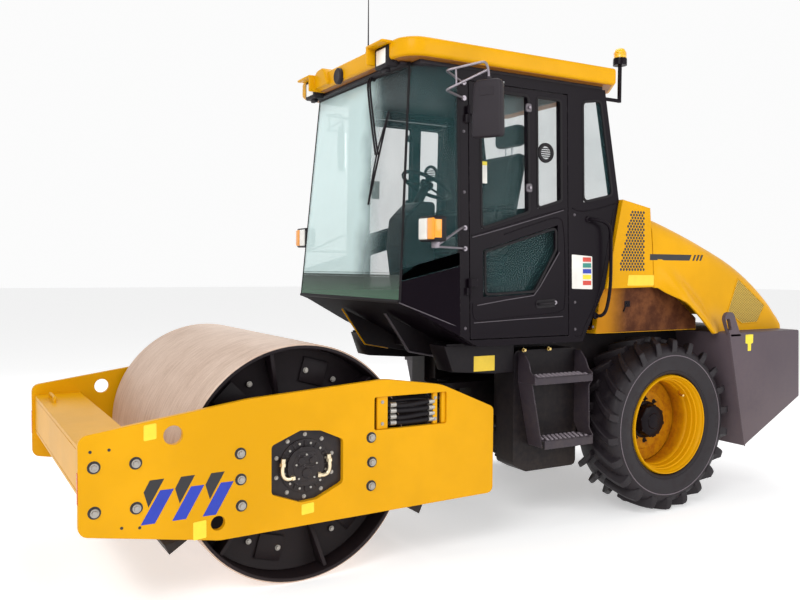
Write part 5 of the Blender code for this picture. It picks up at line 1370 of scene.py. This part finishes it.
def make_mirrors(finish):
    for name, side in SIDES:
        x, y, z = side * 0.93, CAB_Y + 0.43, 2.496
        turn = Matrix.Rotation(side * radians(30), 3, "Z")
        shell = slab(rounded([(-0.086, 0.160, 0.035), (0.086, 0.160, 0.035), (0.096, -0.160, 0.022),
                              (-0.096, -0.160, 0.022)], 6),
                     "y", -0.030, 0.022, 0.016, 4)
        badge = slab(rounded([(-0.040, 0.112, 0.004), (0.045, 0.112, 0.004), (0.045, 0.070, 0.004),
                              (-0.040, 0.070, 0.004)], 2),
                     "y", -0.0325, -0.028, 0.001, 1)
        clamp = set_on(disc(0.014, 0.05, 20), (0, -0.002, 0.125), (0, 0, 1))
        at = Vector((x, y, z))
        high, low = (on_side(side, 0.4125, height, 0.002) for height in (2.68, 2.59))
        neck = Vector((x, y, 2.70))
        hoops = [[high, Vector((side * 0.80, CAB_Y + 0.23, 2.708)), neck + Vector((0, -0.02, 0.055)), neck,
                  at + Vector((0, 0, 0.14))],
                 [low, Vector((side * 0.80, CAB_Y + 0.23, 2.60)), neck + Vector((0, 0, 0.012))]]
        arms = [pipe(bent(route, 0.025), 0.0075, 12) for route in hoops]
        arms.append(pipe([hoops[0][1].lerp(hoops[0][2], 0.25), hoops[1][1].lerp(hoops[1][2], 0.25)], 0.006, 10))
        feet = [set_on(disc(0.018, 0.012, 20, 0.015), on_side(side, 0.4125, height, 0.0005),
                       (side, 0, 0)) for height in (2.68, 2.59)]
        piece(f"mirror_housing_{name}", [moved(shape, at, turn) for shape in (shell, badge, clamp)], finish["trim"],
              "rear_frame", (f"mirror_{name}",))
        piece(f"mirror_arms_{name}", arms + feet, finish["arm"], "rear_frame")
        glass = block((-0.082, 0.082), (0.0205, 0.0235), (-0.145, 0.145), 0.001, 1)
        piece(f"mirror_pane_{name}", [moved(glass, at, turn)], finish["mirror"], "rear_frame")


def bent(points, radius, steps=4):
    """The same route with each corner eased into a bend."""
    points = [Vector(p) for p in points]
    route = [points[0]]
    for before, here, after in zip(points, points[1:], points[2:]):
        first = here + (before - here).normalized() * min(radius, (before - here).length * 0.45)
        last = here + (after - here).normalized() * min(radius, (after - here).length * 0.45)
        for step in range(steps + 1):
            t = step / steps
            route.append(first * (1 - t) ** 2 + here * 2 * t * (1 - t) + last * t * t)
    return route + [points[-1]]


def make_head_lamps(finish):
    for name, side in SIDES:
        x, y, z = side * 0.869, CAB_Y + 0.106, 1.822
        shell = block((x - 0.084, x + 0.084), (y - 0.036, y + 0.045), (z - 0.070, z + 0.070), 0.014, 4)
        arms = [block((x - 0.02, x + 0.02), (y + 0.005, y + 0.04), (z - 0.105, z - 0.06), 0.006)]
        knee = Vector((x - side * 0.01, y + 0.03, z - 0.095))
        for height in (z + 0.02, z - 0.10):
            start = on_side(side, 0.4125, height, 0.006)
            arms.append(pipe(bent([start, start + Vector((side * 0.05, -0.05, 0)), knee], 0.02), 0.007, 12))
            arms.append(set_on(disc(0.016, 0.012, 20, 0.014), on_side(side, 0.4125, height, 0.0005), (side, 0, 0)))
        piece(f"head_lamp_shell_{name}", [shell], finish["plastic"], "rear_frame",
              (f"head_lamp_{name}",))
        piece(f"head_lamp_arms_{name}", arms, finish["arm"], "rear_frame")
        inner, outer = x - side * 0.074, x + side * 0.010
        clear = block((inner, outer), (y - 0.044, y - 0.030), (z - 0.058, z + 0.058), 0.006, 3)
        piece(f"head_lamp_lens_{name}", [clear], finish["lens"], "rear_frame")
        flasher = block((x + side * 0.016, x + side * 0.078), (y - 0.044, y - 0.022), (z - 0.058, z + 0.058), 0.006,
                        3)
        turn_light = block((x + side * 0.074, x + side * 0.0850), (y - 0.036, y + 0.010), (z - 0.050, z + 0.050),
                           0.003, 2)
        piece(f"flasher_lens_{name}", [flasher, turn_light], finish["amber"], "rear_frame")


def make_beacon_and_antenna(finish):
    x, y = 0.68, CAB_Y + 1.66
    dome = turned(((2.985, 0.041), (3.0, 0.040), (3.028, 0.037), (3.044, 0.028), (3.050, 0.014), (3.050, 0)), "z",
                  (x, y, 0), 40)
    cage = [turned(((h, 0.0405), (h + 0.002, 0.0425), (h + 0.004, 0.0405)), "z", (x, y, 0), 40) for h in (2.988,
            2.998, 3.008, 3.018)]
    base = turned(((2.940, 0), (2.940, 0.045), (2.975, 0.045), (2.985, 0.043), (2.987, 0.030)), "z", (x, y, 0), 40)
    stem = pipe([(x, y, 2.70), (x, y, 2.945)], 0.013, 16)
    arm = pipe([(x, y, 2.71), (x, CAB_Y + 1.5256, 2.71)], 0.012, 14)
    piece("beacon_dome", [dome] + cage, finish["beacon"], "rear_frame", ("beacon",))
    piece("beacon_stand", [base, stem, arm], finish["black"], "rear_frame")
    low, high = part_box("antenna")
    at = (low + high) / 2
    mast = turned(((low.z, 0), (low.z, 0.019), (low.z + 0.01, 0.018), (low.z + 0.03, 0.010),
                   (low.z + 0.045, 0.0045),
                   (low.z + 0.10, 0.0040), (high.z - 0.002, 0.0022), (high.z, 0)), "z", (at.x, at.y, 0), 20)
    piece("antenna_mast", [mast], finish["plastic"], "rear_frame", ("antenna",))


# ---- cab inside -----------------------------------------------------------------------------------------------

def make_seat(finish):
    """Sprung driver's seat: padded cushion and leaning back, head rest, arm rests and a bellows base."""
    y = CAB_Y + 0.94
    base = [block((-0.19, 0.19), (y - 0.19, y + 0.19), (1.2005, 1.24), 0.006)]
    for number in range(10):
        half = 0.165 + 0.014 * (number % 2)
        base.append(block((-half, half), (y - half, y + half), (1.24 + number * 0.042, 1.285 + number * 0.042),
                          0.012, 3))
    base.append(block((-0.205, 0.205), (y - 0.215, y + 0.195), (1.655, 1.695), 0.010, 3))
    piece("seat_bellows", base, finish["plastic"], "rear_frame", ("seat_base",))
    cushion = block((-0.216, 0.216), (y - 0.232, y + 0.205), (1.702, 1.806), 0.035, 5)
    padded_piece("seat_squab", cushion, "seat_cushion", finish, 0.010, Vector((0, 0, 1)))
    lean = radians(-12.5)
    back = moved(block((-0.212, 0.212), (-0.048, 0.048), (0.015, 0.600), 0.036, 5), (0, y + 0.185, 1.815),
                 Matrix.Rotation(lean, 3, "X"))
    padded_piece("seat_rest", back, "seat_back", finish, 0.010, Vector((0, cos(lean), sin(lean))))
    head = block((-0.13, 0.13), (CAB_Y + 1.242, CAB_Y + 1.338), (2.462, 2.608), 0.034, 5)
    piece("head_rest", [head], finish["seat"], "rear_frame")
    posts = [pipe([(x, CAB_Y + 1.28, 2.39), (x, CAB_Y + 1.285, 2.50)], 0.008, 10) for x in (-0.035, 0.035)]
    piece("head_rest_posts", posts, finish["chrome"], "rear_frame")
    arms = []
    for _, side in SIDES:
        arms.append(moved(block((side * 0.222, side * 0.262), (-0.30, 0.02), (-0.020, 0.022), 0.018, 4),
                          (0, y + 0.19, 2.02),
                          Matrix.Rotation(radians(6), 3, "X")))
        arms.append(set_on(disc(0.022, 0.036, 20), (side * 0.212, y + 0.19, 2.02), (side, 0, 0)))
    piece("seat_arms", arms, finish["plastic"], "rear_frame")


def padded_piece(name, shape, node, finish, most, flat_way):
    """A stuffed piece: it swells under its own pressure, then takes its sewn channels."""
    made = piece(name, [shape], finish["seat"], "rear_frame", (node,), 60)
    made.parent = None
    remesh = made.modifiers.new("even", "REMESH")
    remesh.mode, remesh.voxel_size = "VOXEL", 0.006
    apply_modifiers(made)
    start = [v.co.copy() for v in made.data.vertices]
    cloth = made.modifiers.new("stuffing", "CLOTH")
    cloth.settings.use_pressure = True
    cloth.settings.uniform_pressure_force = 4
    cloth.settings.effector_weights.gravity = 0
    cloth.point_cache.frame_start, cloth.point_cache.frame_end = 1, 20
    for number in range(1, 21):
        bpy.context.scene.frame_set(number)
    apply_modifiers(made)
    bpy.context.scene.frame_set(1)
    low = Vector([min(p[k] for p in start) for k in range(3)])
    high = Vector([max(p[k] for p in start) for k in range(3)])
    centre = (low + high) / 2
    for vertex, before in zip(made.data.vertices, start):
        step = vertex.co - before
        if step.length > most:
            vertex.co = before + step.normalized() * most
        across = abs(abs(vertex.co.x) - 0.115)
        press = 0.010 * max(0.0, 1 - across / 0.010) ** 2
        sides = 0.010 * max(0.0, 1 - abs(abs(vertex.co.x) - 0.205) / 0.008) ** 2
        outward = 1 if (vertex.co - centre).dot(flat_way) > 0 else -1
        vertex.co -= flat_way * outward * (press + sides)
    for face in made.data.polygons:
        face.use_smooth = True
    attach(made, "rear_frame")
    return made


def apply_modifiers(made):
    graph = bpy.context.evaluated_depsgraph_get()
    graph.update()
    settled = bpy.data.meshes.new_from_object(made.evaluated_get(graph))
    materials = list(made.data.materials)
    made.modifiers.clear()
    made.data = settled
    settled.materials.clear()
    for material in materials:
        settled.materials.append(material)


def make_controls(finish):
    """Steering pod on its foot, wheel, and the instrument hood in front of the wheel."""
    y = CAB_Y
    hub, lean = Vector((0, CAB_Y + 0.60, 2.16)), radians(28)
    down = Vector((0, -sin(lean), -cos(lean)))
    profile = ((0.36, 1.75, 0.04), (0.38, 1.93, 0.04), (0.49, 2.04, 0.04), (0.60, 2.04, 0.03), (0.60, 1.31, 0.02),
               (0.42, 1.31, 0.03))
    pod = slab(rounded([(y + forward, z, r) for forward, z, r in profile], 5), "x", -0.12, 0.12, 0.014, 3)
    foot = block((-0.15, 0.15), (y + 0.506, y + 0.60), (1.2005, 1.335), 0.010, 3)
    column = pipe([hub + down * 0.015, hub + down * 0.20], 0.030, 20)
    piece("steering_pod", [pod, foot, column], finish["plastic"], "rear_frame", ("steering_column",))
    tilt = Matrix.Rotation(-lean, 3, "X")
    ring = turned([(0.0125 * cos(k * pi / 8), 0.1675 + 0.0125 * sin(k * pi / 8)) for k in range(16)], "z",
                  (0, 0, 0), 72, True)
    boss = turned(((-0.02, 0), (-0.02, 0.040), (0.010, 0.048), (0.020, 0.044), (0.024, 0.020), (0.024, 0)), "z",
                  (0, 0, 0), 32)
    shapes = [moved(ring, hub, tilt), moved(boss, hub, tilt)]
    for number in range(3):
        spoke = block((0.03, 0.164), (-0.014, 0.014), (-0.005, 0.003), 0.003)
        shapes.append(moved(spoke, hub, tilt @ Matrix.Rotation(radians(90 + 120 * number), 3, "Z")))
    piece("steering_wheel", shapes, finish["plastic"], "rear_frame")
    screen = moved(block((-0.10, 0.10), (-0.008, 0.008), (0, 0.085), 0.008, 3), (0, y + 0.41, 1.955),
                   Matrix.Rotation(radians(-48), 3, "X"))
    piece("instrument_pod", [screen], finish["trim"], "rear_frame")
    mat = block((-0.62, 0.62), (y + 0.52, y + 1.28), (1.2, 1.206), 0.002, 1)
    piece("floor_mat", [mat], finish["rubber"], "rear_frame")


# ---- carried-over frame nodes, floor, light and camera --------------------------------------------------------

def paint_nodes(finish):
    for name, node in NODES.items():
        if name.startswith(("front_side_plate", "front_cross_beam", "cowl")):
            look = "yellow"
        elif name == "cab_front_panel":
            look = "chin"
        elif "glass" in name or name in ("windscreen", "rear_window"):
            look = "screen" if name == "windscreen" else "glass"
        elif name.startswith(("cab_", "door")):
            look = "black"
        elif name == "engine_block" or name.startswith("drum_carrier"):
            look = "casting"
        else:
            look = "chassis"
        node.data.materials.clear()
        node.data.materials.append(finish[look].made)


def make_stage():
    ground = bmesh.new()
    bmesh.ops.create_grid(ground, x_segments=2, y_segments=2, size=60)
    mesh = bpy.data.meshes.new("floor")
    ground.to_mesh(mesh)
    ground.free()
    floor = bpy.data.objects.new("floor", mesh)
    bpy.context.scene.collection.objects.link(floor)
    pale = Finish("pale_floor", (0.88, 0.88, 0.88), 0.9, Specular_IOR_Level=0.0, 
                  Emission_Color=(1, 1, 1, 1), Emission_Strength=0.42)
    floor.data.materials.append(pale.made)
    world = bpy.data.worlds.new("studio")
    bpy.context.scene.world = world
    world.use_nodes = True
    nodes, links = world.node_tree.nodes, world.node_tree.links
    place, split, fade = (nodes.new(f"ShaderNode{kind}") for kind in ("TexCoord", "SeparateXYZ", "MapRange"))
    links.new(place.outputs["Generated"], split.inputs["Vector"])
    links.new(split.outputs["Z"], fade.inputs["Value"])
    fade.inputs["From Min"].default_value, fade.inputs["From Max"].default_value = 0.30, 0.62
    fade.inputs["To Min"].default_value, fade.inputs["To Max"].default_value = 0.97, 0.40
    links.new(fade.outputs["Result"], nodes["Background"].inputs["Strength"])
    nodes["Background"].inputs["Color"].default_value = (1.0, 1.0, 1.0, 1)
    for name, at, size, power in (("key", (5.5, -6.0, 6.5), 4.0, 300), ("fill", (7.0, 3.5, 3.5), 4.0, 120),
                                  ("top", (-1.0, 0.5, 7.5), 5.0, 170), ("back", (-6.0, 2.0, 4.0), 4.0, 110)):
        lamp = bpy.data.lights.new(name, "AREA")
        lamp.size, lamp.energy = size, power
        hung = bpy.data.objects.new(name, lamp)
        hung.location = at
        hung.rotation_mode = "QUATERNION"
        hung.rotation_quaternion = (Vector(at) - Vector((0, 0, 1))).to_track_quat("Z", "Y")
        bpy.context.scene.collection.objects.link(hung)
    bpy.context.scene.view_settings.view_transform = "Standard"


def make_camera():
    heading, dip, roll = radians(60.19), radians(2.21), 0.0068
    ahead = Vector((-sin(heading) * cos(dip), cos(heading) * cos(dip), -sin(dip)))
    right = ahead.cross(Vector((0, 0, 1))).normalized()
    up = right.cross(ahead)
    right, up = right * cos(roll) + up * sin(roll), up * cos(roll) - right * sin(roll)
    lens = bpy.data.cameras.new("camera")
    lens.sensor_width, lens.lens = 36, 37.17
    camera = bpy.data.objects.new("camera", lens)
    camera.matrix_world = Matrix.Translation((4.705, -3.061, 1.607)) @ Matrix((right, up,
                                                                               -ahead)).transposed().to_4x4()
    bpy.context.scene.collection.objects.link(camera)
    bpy.context.scene.camera = camera


def main():
    make_camera()
    make_stage()
    finish = make_finishes()
    paint_nodes(finish)
    dress_front_frame(finish)
    make_drum(finish)
    make_steering_cylinders(finish)
    make_wheels(finish)
    make_steps(finish)
    make_cradle(finish)
    make_counterweight(finish)
    make_hood(finish)
    make_cowl_trim(finish)
    dress_cab_sides(finish)
    dress_cab_front(finish)
    make_roof(finish)
    make_mirrors(finish)
    make_head_lamps(finish)
    make_beacon_and_antenna(finish)
    make_seat(finish)
    make_controls(finish)


main()
